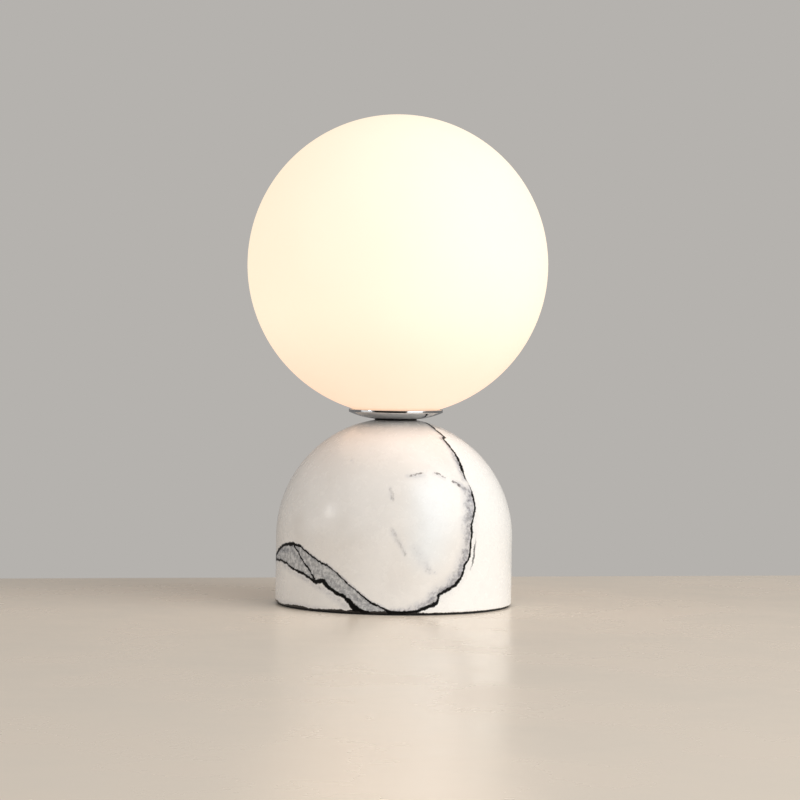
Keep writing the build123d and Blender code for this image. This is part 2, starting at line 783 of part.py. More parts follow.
with BuildPart() as one_block_screw:
    with BuildSketch(Plane.XY.offset(plate_seat - plate_thickness)):
        Circle(block_screw_diameter / 2)
    extrude(amount=block_height + plate_thickness)
    with BuildSketch(Plane.XY.offset(block_top)):
        Circle(block_screw_head / 2)
    extrude(amount=block_screw_head_height)
    fillet(one_block_screw.edges().sort_by(Axis.Z)[-1], radius=block_screw_head_height / 3)
    with BuildSketch(Plane.XY.offset(block_top + block_screw_head_height)):
        Rectangle(block_screw_head, slot_width)
    extrude(amount=-block_screw_head_height * slot_depth_share, mode=Mode.SUBTRACT)

with BuildPart() as block_screws:
    with Locations((0, block_offset)):
        with GridLocations(terminal_pitch, 0, 2, 1):
            add(one_block_screw.part)
finish(block_screws, "block_screws")

# The leads start in their clamps and turn up in front of the tube's axis. Two go through the
# tube to the contacts, and the third goes to the tag on the tube.
lead_start = block_offset - clamp_length / 2 + lead_grip
in_tube = lead_spacing_in_tube / 2
at_pin = pin_spacing / 2
splay_start = tube_top + fit
splay_end = holder_bottom - lead_diameter / 2


def supply_route(side):
    """Route of the lead on one side, -1 or 1, from its clamp to its contact."""
    at_clamp = side * terminal_pitch
    turning = side * (terminal_pitch - lead_turn_inset)
    return [
        (at_clamp, lead_start, terminal_level),
        (at_clamp, -lead_forward_run, terminal_level),
        (turning, -lead_forward_run, terminal_level + lead_first_rise),
        (side * in_tube, 0, terminal_level + lead_rise_to_axis),
        (side * in_tube, 0, splay_start),
        (side * at_pin, 0, splay_end),
        (side * at_pin, 0, chamber_floor),
    ]


earth_route = [
    (0, lead_start, terminal_level),
    (0, -earth_forward_run, terminal_level),
    (0, -earth_forward_run, tag_barrel_level),
    (0, tag_barrel_length - tag_barrel_reach, tag_barrel_level),
]

lead_radius = lead_diameter / 2

with BuildPart() as live_lead:
    with BuildLine() as live_path:
        FilletPolyline(*supply_route(-1), radius=lead_bend)
    with BuildSketch(Plane(origin=live_path.line @ 0, z_dir=live_path.line % 0)):
        Circle(lead_radius)
    sweep()
finish(live_lead, "live_lead")

with BuildPart() as neutral_lead:
    with BuildLine() as neutral_path:
        FilletPolyline(*supply_route(1), radius=lead_bend)
    with BuildSketch(Plane(origin=neutral_path.line @ 0, z_dir=neutral_path.line % 0)):
        Circle(lead_radius)
    sweep()
finish(neutral_lead, "neutral_lead")

with BuildPart() as earth_lead:
    with BuildLine() as earth_path:
        FilletPolyline(*earth_route, radius=earth_bend)
    with BuildSketch(Plane(origin=earth_path.line @ 0, z_dir=earth_path.line % 0)):
        Circle(lead_radius)
    sweep()
finish(earth_lead, "earth_lead")

for name, path in (("live", live_path), ("neutral", neutral_path), ("earth", earth_path)):
    length = path.wires()[0].length
    volume = pi * lead_radius**2 * length
    print(name, "lead length", round(length, 1), "section x length", round(volume, 1))
print("seat", round(seat_height, 2), "globe centre", round(globe_centre, 2))
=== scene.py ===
# %% [markdown]
# # A glass globe table lamp
# A polished stone base carries a shallow chrome dish, and an opal glass globe rests in the dish over a
# small pin-base lamp. The engineering model gives every piece its size and place. This lesson loads it,
# makes the pieces that show with finer forms, and gives each surface the finish of the real material.

# %% Load the frame
import json
from math import acos, atan2, cos, degrees, hypot, pi, radians, sin, sqrt

import bpy
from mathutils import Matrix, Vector
from mathutils.kdtree import KDTree


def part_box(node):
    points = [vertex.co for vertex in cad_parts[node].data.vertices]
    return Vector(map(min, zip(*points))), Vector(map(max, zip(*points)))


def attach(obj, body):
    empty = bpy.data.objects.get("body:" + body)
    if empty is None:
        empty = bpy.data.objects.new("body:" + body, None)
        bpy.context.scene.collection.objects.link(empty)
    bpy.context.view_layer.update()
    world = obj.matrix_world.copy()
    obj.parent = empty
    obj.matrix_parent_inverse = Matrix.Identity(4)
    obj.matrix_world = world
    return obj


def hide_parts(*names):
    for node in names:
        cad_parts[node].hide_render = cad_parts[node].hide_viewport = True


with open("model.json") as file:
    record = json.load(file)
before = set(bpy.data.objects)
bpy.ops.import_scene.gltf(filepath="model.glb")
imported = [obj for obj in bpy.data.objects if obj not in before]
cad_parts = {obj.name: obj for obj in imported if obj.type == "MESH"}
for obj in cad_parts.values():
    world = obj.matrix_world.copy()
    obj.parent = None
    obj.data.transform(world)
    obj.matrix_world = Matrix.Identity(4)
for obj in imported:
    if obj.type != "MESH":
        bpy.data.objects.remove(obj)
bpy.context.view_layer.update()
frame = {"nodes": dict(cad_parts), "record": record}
MM = 0.001
slot_of = {part["node"]: part["material_slot"] for part in frame["record"]["subparts"]}
body_of = {node: body for body, group in frame["record"]["behaviour"]["bodies"].items() for node in group}

# %% [markdown]
# ## How a turned piece is made
# Most of this lamp is round, as it comes from a lathe, a spinning chuck or a mould. One way is a stack of
# cylinders, but their edges stay sharp and their joints show. So the outline of half the section is drawn
# point by point from one corner, eased at its corners, and spun once round the axis.

# %% Helpers for turned pieces


def nothing_selected():
    """Object mode, with nothing selected."""
    if bpy.context.mode != "OBJECT":
        bpy.ops.object.mode_set(mode="OBJECT")
    bpy.ops.object.select_all(action="DESELECT")


def take(piece):
    """Selects one piece and makes it active."""
    nothing_selected()
    piece.select_set(True)
    bpy.context.view_layer.objects.active = piece


def arc(centre, radius, start, end, count):
    """Points of an arc in the half section, (radius, height) in mm, angles in degrees."""
    turns = [radians(start + (end - start) * i / count) for i in range(count + 1)]
    return [(centre[0] + radius * cos(a), centre[1] + radius * sin(a)) for a in turns]


def eased(corners, steps=4):
    """A closed outline whose corners (radius, height, ease) are rounded off by their ease in mm."""
    outline = []
    for i, (r, h, ease) in enumerate(corners):
        corner = Vector((r, h))
        if not ease:
            outline.append((r, h))
            continue
        before = (Vector(corners[i - 1][:2]) - corner).normalized() * ease
        after = (Vector(corners[(i + 1) % len(corners)][:2]) - corner).normalized() * ease
        for k in range(steps + 1):
            t = k / steps
            outline.append(tuple(corner + before * (1 - t) ** 2 + after * t**2))
    return outline


def turned(name, outline, steps=128, axis=(0, 0, 1), centre=(0, 0, 0), smooth=30):
    """Draws the outline edge by edge, spins it once round its axis and closes the seam."""
    along = Vector(axis)
    spots = [(Vector(centre) + Vector((r, 0, 0)) + along * h) * MM for r, h in outline]
    if outline[0][0] > 0:
        spots.append(spots[0])
    nothing_selected()
    bpy.ops.mesh.primitive_plane_add(size=MM, location=spots[0])
    piece = bpy.context.object
    piece.name = piece.data.name = name
    bpy.ops.object.transform_apply(location=True, rotation=True, scale=True)
    bpy.ops.object.mode_set(mode="EDIT")
    bpy.ops.mesh.merge(type="CENTER")
    for here, there in zip(spots, spots[1:]):
        bpy.ops.mesh.extrude_vertices_move(TRANSFORM_OT_translate={"value": there - here})
    bpy.ops.mesh.select_all(action="SELECT")
    bpy.ops.mesh.spin(steps=steps, angle=2 * pi, center=Vector(centre) * MM, axis=axis)
    bpy.ops.mesh.select_all(action="SELECT")
    bpy.ops.mesh.remove_doubles(threshold=0.004 * MM)
    bpy.ops.mesh.dissolve_degenerate(threshold=0.002 * MM)
    bpy.ops.mesh.select_all(action="SELECT")
    bpy.ops.mesh.normals_make_consistent(inside=False)
    bpy.ops.object.mode_set(mode="OBJECT")
    bpy.ops.object.shade_smooth_by_angle(angle=radians(smooth))
    return piece


def cut_out(piece, *cutters):
    """Cuts other shapes out of a piece, as a drill or a mill does."""
    for cutter in cutters:
        take(piece)
        cut = piece.modifiers.new("cut", "BOOLEAN")
        cut.operation = "DIFFERENCE"
        cut.solver = "EXACT"
        cut.object = cutter
        bpy.ops.object.modifier_apply(modifier=cut.name)
        bpy.data.objects.remove(cutter)
    return piece


def stands_for(piece, node):
    """The piece takes a CAD node's place and body: the node is hidden and the two boxes are compared."""
    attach(piece, body_of[node])
    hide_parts(node)
    low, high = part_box(node)
    corners = [Vector(v) for v in piece.bound_box]
    off = max(
        max(abs(min(c[i] for c in corners) - low[i]), abs(max(c[i] for c in corners) - high[i]))
        for i in range(3)
    )
    print(piece.name, "faces", len(piece.data.polygons), "off the CAD box by mm", round(off / MM, 3))


# %% [markdown]
# ## How a finish is made
# A finish is a small network of nodes. Each one starts from the place on the object, so that it stays put
# when the piece moves, and ends in one shader. These helpers keep the networks short to read.

# %% Helpers for finishes


def paint(red, green, blue):
    """A colour as it is seen on a screen, 0 to 255, as the linear colour that nodes use."""
    def linear(v):
        v = v / 255
        return v / 12.92 if v <= 0.04045 else ((v + 0.055) / 1.055) ** 2.4
    return (linear(red), linear(green), linear(blue), 1.0)


def put(tree, socket, value):
    """Feeds a socket from another socket, or sets its value."""
    if isinstance(value, bpy.types.NodeSocket):
        tree.links.new(value, socket)
    else:
        socket.default_value = value


def calc(tree, work, *values, clamp=False):
    """One step of arithmetic."""
    made = tree.nodes.new("ShaderNodeMath")
    made.operation = work
    made.use_clamp = clamp
    for socket, value in zip(made.inputs, values):
        put(tree, socket, value)
    return made.outputs[0]


def soft_step(tree, value, low, high, to_low=0.0, to_high=1.0):
    """Runs smoothly from one value to another between two limits."""
    made = tree.nodes.new("ShaderNodeMapRange")
    made.interpolation_type = "SMOOTHSTEP"
    for socket, v in zip(made.inputs, (value, low, high, to_low, to_high)):
        put(tree, socket, v)
    return made.outputs[0]


def between(tree, share, first, second, kind="MIX"):
    """Mixes two colours."""
    made = tree.nodes.new("ShaderNodeMix")
    made.data_type = "RGBA"
    made.blend_type = kind
    put(tree, made.inputs[0], share)
    put(tree, made.inputs[6], first)
    put(tree, made.inputs[7], second)
    return made.outputs[2]


def place_on(tree, stretch=(1, 1, 1)):
    """The place on the piece, stretched along the axes."""
    made = tree.nodes.new("ShaderNodeTexCoord")
    if stretch == (1, 1, 1):
        return made.outputs["Object"]
    scaled = tree.nodes.new("ShaderNodeMapping")
    scaled.inputs["Scale"].default_value = stretch
    tree.links.new(made.outputs["Object"], scaled.inputs["Vector"])
    return scaled.outputs[0]


def apart(tree, vector):
    """The three parts of a vector, each its own output."""
    made = tree.nodes.new("ShaderNodeSeparateXYZ")
    tree.links.new(vector, made.inputs[0])
    return made.outputs


def grain(tree, place, size, detail=4.0, rough=0.5, warp=0.0):
    """Cloudy grain, whose patches are about this many mm across."""
    made = tree.nodes.new("ShaderNodeTexNoise")
    put(tree, made.inputs["Vector"], place)
    made.inputs["Scale"].default_value = 1 / (size * MM)
    made.inputs["Detail"].default_value = detail
    made.inputs["Roughness"].default_value = rough
    made.inputs["Distortion"].default_value = warp
    return made.outputs[0]


def new_finish(name):
    """A new material, its tree and its shader."""
    finish = bpy.data.materials.new(name)
    finish.use_nodes = True
    tree = finish.node_tree
    return finish, tree, tree.nodes["Principled BSDF"]


def bumped(tree, shader, height, depth, strength=1.0):
    """Raises the surface by a height from 0 to 1, depth in mm."""
    made = tree.nodes.new("ShaderNodeBump")
    made.inputs["Strength"].default_value = strength
    made.inputs["Distance"].default_value = depth * MM
    tree.links.new(height, made.inputs["Height"])
    tree.links.new(made.outputs[0], shader.inputs["Normal"])


def on_shader(shader, **values):
    """Sets plain numbers and colours on the shader's own sockets."""
    for name, value in values.items():
        shader.inputs[name.replace("_", " ")].default_value = value


# %% [markdown]
# ## The stone base
# The real base is one block of white stone, turned to a straight side under a half-dome, bored from below
# for the wiring and polished all over. The dark veins are the look of this lamp. A noise texture alone
# can't put a vein where the real one runs, so the stone is spun with a fine mesh, and each of its points
# learns how far it lies from each vein. The finish then draws the vein from that distance.

# %% The stone's form
low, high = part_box("marble_base")
stone_radius = high.x / MM
stone_bottom = low.z / MM
stone_top = high.z / MM
side_top = 34.0  # table to the start of the dome
stone_arris = 0.8
tube_bore = 5.6
recess_radius = 48.3
recess_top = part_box("base_plate")[1].z / MM
cavity_radius = 33.0
cavity_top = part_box("fibre_washer")[1].z / MM
row_height = 0.9  # between the rows of points that carry the veins
seat_radius = sqrt(stone_radius**2 - (stone_top - side_top) ** 2)
seat_angle = degrees(acos(seat_radius / stone_radius))
dome_rows = round(radians(seat_angle) * stone_radius / row_height)
side_rows = round((side_top - stone_bottom) / row_height)

outline = [(tube_bore, stone_top), ((tube_bore + seat_radius) / 2, stone_top)]
outline += arc((0, side_top), stone_radius, seat_angle, 0, dome_rows)
side_foot = stone_bottom + stone_arris
for i in range(1, side_rows):
    outline.append((stone_radius, side_top + (side_foot - side_top) * i / side_rows))
outline += arc((stone_radius - stone_arris, side_foot), stone_arris, 0, -90, 4)
outline += [
    (recess_radius, stone_bottom),
    (recess_radius, recess_top),
    (cavity_radius, recess_top),
    (cavity_radius, cavity_top),
    (tube_bore, cavity_top),
]
stone = turned("Stone_base", outline, steps=420)

inlet_height = 16.0
spot_face = (6.8, 57.8)  # radius, and its distance behind the axis
bush_bore = 5.0
drill_start, drill_end = 20, 70  # from inside the wiring space to outside the stone
drill = [(0, drill_start), (bush_bore, drill_start), (bush_bore, spot_face[1]), (spot_face[0], spot_face[1])]
drill += [(spot_face[0], drill_end), (0, drill_end)]
inlet = turned("Inlet_drill", drill, steps=64, axis=(0, 1, 0), centre=(0, 0, inlet_height))
anchor_circle, anchor_count = 40.5, 3
anchor_radius, anchor_end = 3.5, recess_top + 12
anchor_holes = []
for i in range(anchor_count):
    turn = radians(-90 + 360 / anchor_count * i)
    spot = (anchor_circle * cos(turn), anchor_circle * sin(turn), 0)
    bit = [(0, 1), (anchor_radius, 1), (anchor_radius, anchor_end), (0, anchor_end)]
    anchor_holes.append(turned("Anchor_drill", bit, 32, centre=spot))
cut_out(stone, inlet, *anchor_holes)
stands_for(stone, "marble_base")

# %% [markdown]
# ### Where the veins run
# The points below were read from the reference view, as pixel column and row, with the half width
# of the vein in mm and how dark it is there. A ray from the eye through each pixel meets the stone, and
# that is where the point lies. Beyond the outline, the veins go on by azimuth and height of this maker's
# own choosing, because nothing shows there.

# %% Points on the stone
eye = Vector((0, -1400, 138))
aim = Vector((0, 0, 102.1))
look = (aim - eye).normalized()
upward = look.cross(Vector((-1, 0, 0))).normalized()
pixels_per_slope = 2800  # pixels of the view for a slope of one
view_middle_row = 400
stone_axis_column = 391.5
dome_centre = Vector((0, 0, side_top))


def onto_stone(point):
    """The nearest point of the stone's outer face."""
    p = Vector(point)
    if p.z > side_top:
        return dome_centre + (p - dome_centre).normalized() * stone_radius
    reach = stone_radius / max(hypot(p.x, p.y), 1e-6)
    return Vector((p.x * reach, p.y * reach, max(p.z, stone_bottom)))


def seen_at(column, row):
    """The point of the stone that shows at a pixel."""
    ray = look + Vector((1, 0, 0)) * (column - stone_axis_column) / pixels_per_slope
    ray = (ray + upward * (view_middle_row - row) / pixels_per_slope).normalized()
    flat = Vector((ray.x, ray.y, 0))
    nearest = -eye.xy.dot(ray.xy) / flat.length_squared
    gap = (eye + ray * nearest).xy.length
    back = sqrt(max(stone_radius**2 - gap**2, 0)) / flat.length
    hit = eye + ray * (nearest - back)
    if hit.z > side_top:
        nearest = (dome_centre - eye).dot(ray)
        gap = (eye + ray * nearest - dome_centre).length
        hit = eye + ray * (nearest - sqrt(max(stone_radius**2 - gap**2, 0)))
    return onto_stone(hit)


def turned_to(azimuth, height):
    """The point of the stone at an azimuth, 0 to the right and -90 to the front, and a height in mm."""
    rise = max(height - side_top, 0)
    reach = sqrt(stone_radius**2 - rise**2)
    turn = radians(azimuth)
    return onto_stone((reach * cos(turn), reach * sin(turn), height))


right_vein = [
    (413.7, 419, 0.85, 1), (420.8, 422, 0.8, 1), (431, 429, 0.75, 1), (440.7, 436.7, 0.7, 1),
    (439.2, 438.3, 0.6, 1), (446.3, 446.4, 0.65, 1), (451.4, 453, 0.65, 1), (455.5, 460, 0.7, 1),
    (458.6, 468, 0.75, 1), (461.6, 477.6, 0.4, 0.9), (464.5, 482, 0.15, 0.2), (467.2, 486.7, 0.4, 0.8),
    (468.2, 490, 0.6, 1), (469.8, 496, 0.6, 1), (472.3, 508, 0.65, 1), (470.8, 514, 0.65, 1),
    (468.8, 523.5, 0.6, 1), (469.3, 532.7, 0.55, 1), (468.3, 543, 0.55, 1), (467.8, 552, 0.55, 1),
    (466.2, 559, 0.55, 1), (462.3, 564, 0.6, 1), (460.3, 574, 0.7, 1), (453.4, 584.6, 0.8, 1),
    (447.5, 588.6, 0.8, 1), (440, 592.4, 0.7, 1), (436.5, 595.5, 0.6, 1), (436.3, 600, 0.65, 1),
    (434, 603.7, 0.9, 1), (427.9, 605.7, 1.0, 1), (423.3, 608.3, 0.8, 1), (416, 610.6, 0.7, 1),
    (404.4, 612.3, 0.8, 1), (388.6, 613, 0.9, 1),
]
side_strand = [
    (473.5, 538, 0.15, 0.3), (472.3, 547, 0.5, 0.8), (471.9, 553, 0.5, 0.85), (470.5, 562, 0.45, 0.7),
    (468, 569, 0.15, 0.3),
]
upper_left_vein = [
    (274, 556.5, 0.9, 1), (277.6, 550.4, 0.85, 1), (281.6, 546.3, 0.8, 1), (290.8, 545.3, 0.8, 1),
    (298, 547.3, 0.5, 1), (305, 553.5, 0.38, 1), (315.3, 561.6, 0.36, 1), (325.5, 566.7, 0.4, 1),
    (335.7, 575, 0.36, 1), (345, 583.6, 0.38, 1), (358, 594, 0.34, 1), (368.5, 602.3, 0.38, 1),
    (377, 606, 0.42, 1), (388.7, 612.8, 0.7, 1),
]
lower_left_vein = [
    (274, 560.6, 0.6, 1), (278.6, 561.6, 0.55, 1), (284.7, 564.7, 0.55, 1), (290.8, 569.8, 0.55, 1),
    (297, 573, 0.6, 1), (303, 575.4, 0.6, 1), (308, 579.5, 0.7, 1), (313.3, 583, 0.95, 1),
    (321.4, 582, 1.05, 1), (326.5, 588, 0.95, 1), (333.7, 593.3, 0.85, 1), (341.8, 597.3, 0.85, 1),
    (347, 601.4, 1.0, 1), (353, 608.6, 1.15, 1), (359, 611.6, 1.1, 1), (367, 613.7, 1.0, 1),
]
cross_strand = [
    (291.8, 547.3, 0.45, 1), (296, 553.5, 0.4, 1), (301, 562.7, 0.4, 1), (306, 568.8, 0.45, 1),
    (310, 576, 0.5, 1), (312.8, 580.5, 0.6, 1),
]
faint_ring = [
    (406, 476.2, 0.3, 0), (407.6, 475.5, 0.5, 0.9), (412, 474.4, 0.45, 0.7), (418.8, 473, 0.5, 0.9),
    (421, 472.6, 0.3, 0), (430, 471.6, 0.3, 0), (432, 472.4, 0.5, 1), (436.5, 474, 0.55, 0.9),
    (441.2, 476.5, 0.4, 0.8), (443, 477.6, 0.3, 0), (448, 479.8, 0.3, 0), (449.4, 480.6, 0.6, 1),
    (456.5, 484.7, 0.75, 1), (459, 486.5, 0.3, 0),
]
faint_side = [
    (387.6, 488, 0.4, 0), (387.5, 489, 0.7, 0.35), (388.4, 491, 0.6, 0.15), (389.8, 499, 0.8, 0.4),
    (391, 502, 0.4, 0), (388, 526, 0.4, 0), (389, 529, 0.6, 0.15), (392, 534, 0.9, 0.3),
    (395, 540, 0.5, 0.05), (398, 546, 0.7, 0.3), (400.5, 550, 0.5, 0.05), (403.5, 555, 0.8, 0.45),
    (404.5, 557, 0.4, 0),
]
back_vein = [(171, 15.0, 0.9, 1), (166, 19, 0.8, 1), (160, 20, 0.7, 1), (154, 24, 0.6, 1)]
back_vein += [(146, 27, 0.7, 1), (139, 33, 0.6, 1), (131, 37, 0.5, 1), (124, 44, 0.6, 1)]
back_vein += [(112, 49, 0.5, 1), (103, 57, 0.5, 1), (93, 63, 0.45, 1), (80, 72, 0.4, 1)]
back_vein += [(71, 78, 0.45, 1), (50, 85, 0.4, 1), (20, 89.5, 0.35, 0.8)]
back_strand = [(154, 24, 0.3, 1), (147, 20, 0.4, 1), (141, 12, 0.5, 1), (131, 8, 0.6, 1), (120, 1.2, 0.7, 1)]
side_vein = [(-18, 90, 0.35, 0.8), (-8, 84, 0.4, 1), (2, 78, 0.45, 1), (10, 70, 0.5, 1), (15, 62, 0.5, 1)]
side_vein += [(24, 55, 0.45, 1), (30, 44, 0.5, 1), (29, 34, 0.6, 1), (35, 24, 0.5, 1), (41, 15, 0.6, 1)]
side_vein += [(52, 8, 0.6, 1), (58, 1.2, 0.7, 1)]

smoke_strokes = [
    [(433, 432, 1.5, 0.3), (446, 448, 2.4, 0.5), (454, 461, 3.4, 0.85), (458, 472, 2.6, 0.7)],
    [(450, 481, 2.0, 0.6), (458, 485, 2.8, 0.7), (464, 491, 5.0, 0.8)],
    [(466, 492, 6.5, 0.8), (468, 505, 8.0, 0.8), (467, 520, 7.5, 0.8), (467, 536, 7.0, 0.75)],
    [(466, 545, 6.5, 0.75), (463, 560, 7.0, 0.8), (458, 573, 6.5, 0.85), (449, 585, 6.0, 0.9)],
    [(447, 587, 6.0, 0.85), (436, 594, 6.0, 0.85), (426, 604, 4.5, 0.7), (408, 609, 3.0, 0.6)],
    [(404, 476, 1.6, 0.3), (412, 476, 2.0, 0.4), (421, 475, 1.5, 0.3)],
    [(430, 473, 1.2, 0.35), (441, 478, 1.5, 0.4)],
    [(387, 488, 1.1, 0.3), (389, 499, 1.3, 0.35)],
    [(389, 529, 1.5, 0.3), (393, 536, 2.2, 0.4), (402, 553, 1.4, 0.3)],
    [(413, 548, 3.5, 0.16), (420, 560, 4.5, 0.22), (428, 571, 2.6, 0.34)],
    [(427, 571, 1.1, 0.7), (428, 573, 0.9, 0.6)],
    [(433, 572, 0.8, 0.6), (434, 573, 0.7, 0.5)],
    [(348, 461, 0.9, 0.5), (350, 462, 0.7, 0.4)],
    [(280, 552, 3.0, 0.7), (290, 552, 2.5, 0.6), (303, 565, 2.5, 0.55), (314, 574, 3.0, 0.6)],
    [(316, 572, 3.0, 0.5), (333, 585, 3.0, 0.5), (350, 598, 3.0, 0.55), (372, 609, 2.5, 0.6)],
    [(281, 566, 2.0, 0.35), (300, 578, 2.5, 0.4), (324, 592, 3.0, 0.45), (345, 607, 3.0, 0.5)],
    [(275, 602, 2.0, 0.35), (300, 608, 2.0, 0.4), (330, 612, 2.0, 0.4)],
    [(276, 505, 1.2, 0.4), (275, 520, 1.2, 0.4)],
]
bright_strokes = [[(428, 495, 17, 1), (432, 520, 19, 1), (425, 548, 17, 1)]]
print("hand-read points", sum(len(v) for v in (right_vein, upper_left_vein, lower_left_vein, faint_ring)),
      "smoky strokes", len(smoke_strokes))

# %% [markdown]
# ### Each point learns its distance
# A signed distance is kept, minus on one side of the vein and plus on the other, because it stays straight
# across the line, so even a mesh coarser than the vein draws it crisply. The half width and the darkness
# go along in the same attribute.

# %% Distances to the veins
sample_step = 0.35


def walk(points):
    """Follows a vein over the stone in small steps: place, direction, half width and darkness."""
    steps = []
    for (a, width_a, shade_a), (b, width_b, shade_b) in zip(points, points[1:]):
        count = max(2, round((b - a).length / sample_step))
        for i in range(count):
            t = i / count
            here = onto_stone(a.lerp(b, t))
            steps.append((here, (b - a).normalized(), width_a + (width_b - width_a) * t,
                          shade_a + (shade_b - shade_a) * t))
    last = points[-1]
    steps.append((last[0], steps[-1][1], last[1], last[2]))
    return steps


def learn_vein(name, points, reach=25.0):
    """Writes (signed distance in mm, half width, darkness) of one vein on each point of the stone."""
    steps = walk(points)
    tree = KDTree(len(steps))
    for i, step in enumerate(steps):
        tree.insert(step[0], i)
    tree.balance()
    values = []
    for vertex in stone.data.vertices:
        p = vertex.co / MM
        spot, i, gap = tree.find(p)
        along, width, shade = steps[i][1:]
        outward = Vector((spot.x, spot.y, max(spot.z - side_top, 0))).normalized()
        side = (p - spot).dot(outward.cross(along))
        if i in (0, len(steps) - 1) and abs((p - spot).dot(along)) > 1.5 * sample_step:
            shade = 0.0
        distance = side if gap < 2 * sample_step else (gap if side > 0 else -gap)
        values += [max(-reach, min(reach, distance)), width, shade]
    layer = stone.data.attributes.new(name, "FLOAT_VECTOR", "POINT")
    layer.data.foreach_set("vector", values)


def from_view(points):
    return [(seen_at(x, y), width, shade) for x, y, width, shade in points]


def from_turn(points):
    return [(turned_to(a, h), width, shade) for a, h, width, shade in points]


def learn_strokes(name, strokes):
    """Writes one strength on each point of the stone, the most that any stroke gives it there."""
    spots = []
    for (a, *start), (b, *end) in (pair for stroke in strokes for pair in zip(stroke, stroke[1:])):
        count = max(1, round((b - a).length / 0.8))
        for i in range(count + 1):
            t = i / count
            reach, strength = (u + (v - u) * t for u, v in zip(start, end))
            spots.append((onto_stone(a.lerp(b, t)), reach, strength))
    tree = KDTree(len(spots))
    for i, spot in enumerate(spots):
        tree.insert(spot[0], i)
    tree.balance()
    widest = max(spot[1] for spot in spots)
    values = []
    for vertex in stone.data.vertices:
        most = 0.0
        for _, i, gap in tree.find_range(vertex.co / MM, widest):
            near = 1 - gap / spots[i][1]
            if near > 0:
                most = max(most, spots[i][2] * near * near * (3 - 2 * near))
        values.append(most)
    layer = stone.data.attributes.new(name, "FLOAT", "POINT")
    layer.data.foreach_set("value", values)


left_join = from_turn([(171, 15.0, 0.9, 1)])
veins = {
    "right_vein": from_view(right_vein),
    "side_strand": from_view(side_strand),
    "upper_left_vein": left_join + from_view(upper_left_vein),
    "lower_left_vein": left_join + from_view(lower_left_vein),
    "cross_strand": from_view(cross_strand),
    "faint_ring": from_view(faint_ring),
    "faint_side": from_view(faint_side),
    "back_vein": from_turn(back_vein),
    "back_strand": from_turn(back_strand),
    "side_vein": from_turn(side_vein),
}
for name, points in veins.items():
    learn_vein(name, points)
learn_strokes("smoke", [from_view(stroke) for stroke in smoke_strokes])
learn_strokes("bright", [from_view(stroke) for stroke in bright_strokes])
print("veins learned", len(veins), "over points", len(stone.data.vertices))

# %% [markdown]
# ### The stone's finish
# Polished white stone is nearly white, a little warmer and greyer in drifting clouds, with faint crystals
# under the polish. A vein is black where it is thick, ragged at its edges, and stains the stone beside it.
# So each distance is roughened by fine grain before it is turned into a line, a second and wider band
# makes the stain, and the polish is a little duller on the vein.

# %% Polished stone
stone_finish, tree, shader = new_finish("polished_stone")
place = place_on(tree)
ragged = calc(tree, "SUBTRACT", grain(tree, place, 2.2, 6, 0.62), 0.5)
wander = calc(tree, "SUBTRACT", grain(tree, place, 7.0, 3, 0.5), 0.5)
torn = calc(tree, "SUBTRACT", grain(tree, place, 1.0, 5, 0.7), 0.5)
offset = calc(tree, "MULTIPLY_ADD", ragged, 1.7, calc(tree, "MULTIPLY", wander, 0.8))
offset = calc(tree, "MULTIPLY_ADD", torn, 1.3, offset)
swell = soft_step(tree, grain(tree, place, 3.5, 3, 0.6), 0.35, 0.65, 0.75, 1.3)
fleck = soft_step(tree, grain(tree, place, 1.6, 5, 0.65), 0.4, 0.54)
mottle = grain(tree, place, 2.4, 8, 0.74)
drift = grain(tree, place, 4.0, 7, 0.68, 0.8)


def learned(name):
    """One of the stone's own attributes."""
    layer = tree.nodes.new("ShaderNodeAttribute")
    layer.attribute_name = name
    return layer


def vein_line(name):
    """How much of a vein's dark core is at each place, its signed distance and its darkness."""
    signed, half_width, shade = apart(tree, learned(name).outputs["Vector"])
    distance = calc(tree, "ADD", signed, offset)
    half = calc(tree, "MULTIPLY", half_width, swell)
    span = calc(tree, "ABSOLUTE", distance)
    line = soft_step(tree, span, calc(tree, "MULTIPLY", half, 1.3), calc(tree, "MULTIPLY", half, 0.75))
    return calc(tree, "MULTIPLY", line, shade), distance, shade


def most(values):
    """The greatest of several values."""
    top = values[0]
    for value in values[1:]:
        top = calc(tree, "MAXIMUM", top, value)
    return top


def near_vein(distance, shade, minus_reach, plus_reach, strength):
    """How near a vein is, falling off over a reach in mm on each of its sides."""
    minus = soft_step(tree, distance, -minus_reach, -0.1)
    plus = soft_step(tree, distance, plus_reach, 0.1)
    near = calc(tree, "MULTIPLY", minus, plus)
    return calc(tree, "MULTIPLY", near, calc(tree, "MULTIPLY", shade, strength))


across, depth, height = apart(tree, place)
in_front = soft_step(tree, depth, 35 * MM, -15 * MM)  # the painted light on the stone right of the vein fades out towards the back
lines, smokes = [], [learned("smoke").outputs["Fac"]]
for name, minus_reach, plus_reach in (
    ("right_vein", 3.6, 0.8), ("side_strand", 1.4, 1.4), ("upper_left_vein", 2.2, 1.6),
    ("lower_left_vein", 1.8, 2.2), ("cross_strand", 1.5, 1.5), ("back_vein", 2.6, 2.0),
    ("back_strand", 1.8, 2.0), ("side_vein", 2.0, 3.0),
):
    line, distance, shade = vein_line(name)
    lines.append(line)
    smokes.append(near_vein(distance, shade, minus_reach, plus_reach, 0.72))
    if name == "right_vein":
        lit_right_of_vein = calc(tree, "MULTIPLY", soft_step(tree, distance, 0.0, 0.7), in_front)
    if name == "upper_left_vein":
        below_upper = soft_step(tree, distance, 0.2, -0.4)
    if name == "lower_left_vein":
        above_lower = soft_step(tree, distance, -0.2, 0.4)
faint_names = ("faint_ring", "faint_side")
flecks = most([calc(tree, "MULTIPLY", vein_line(name)[0], fleck) for name in faint_names])
black = most(lines)
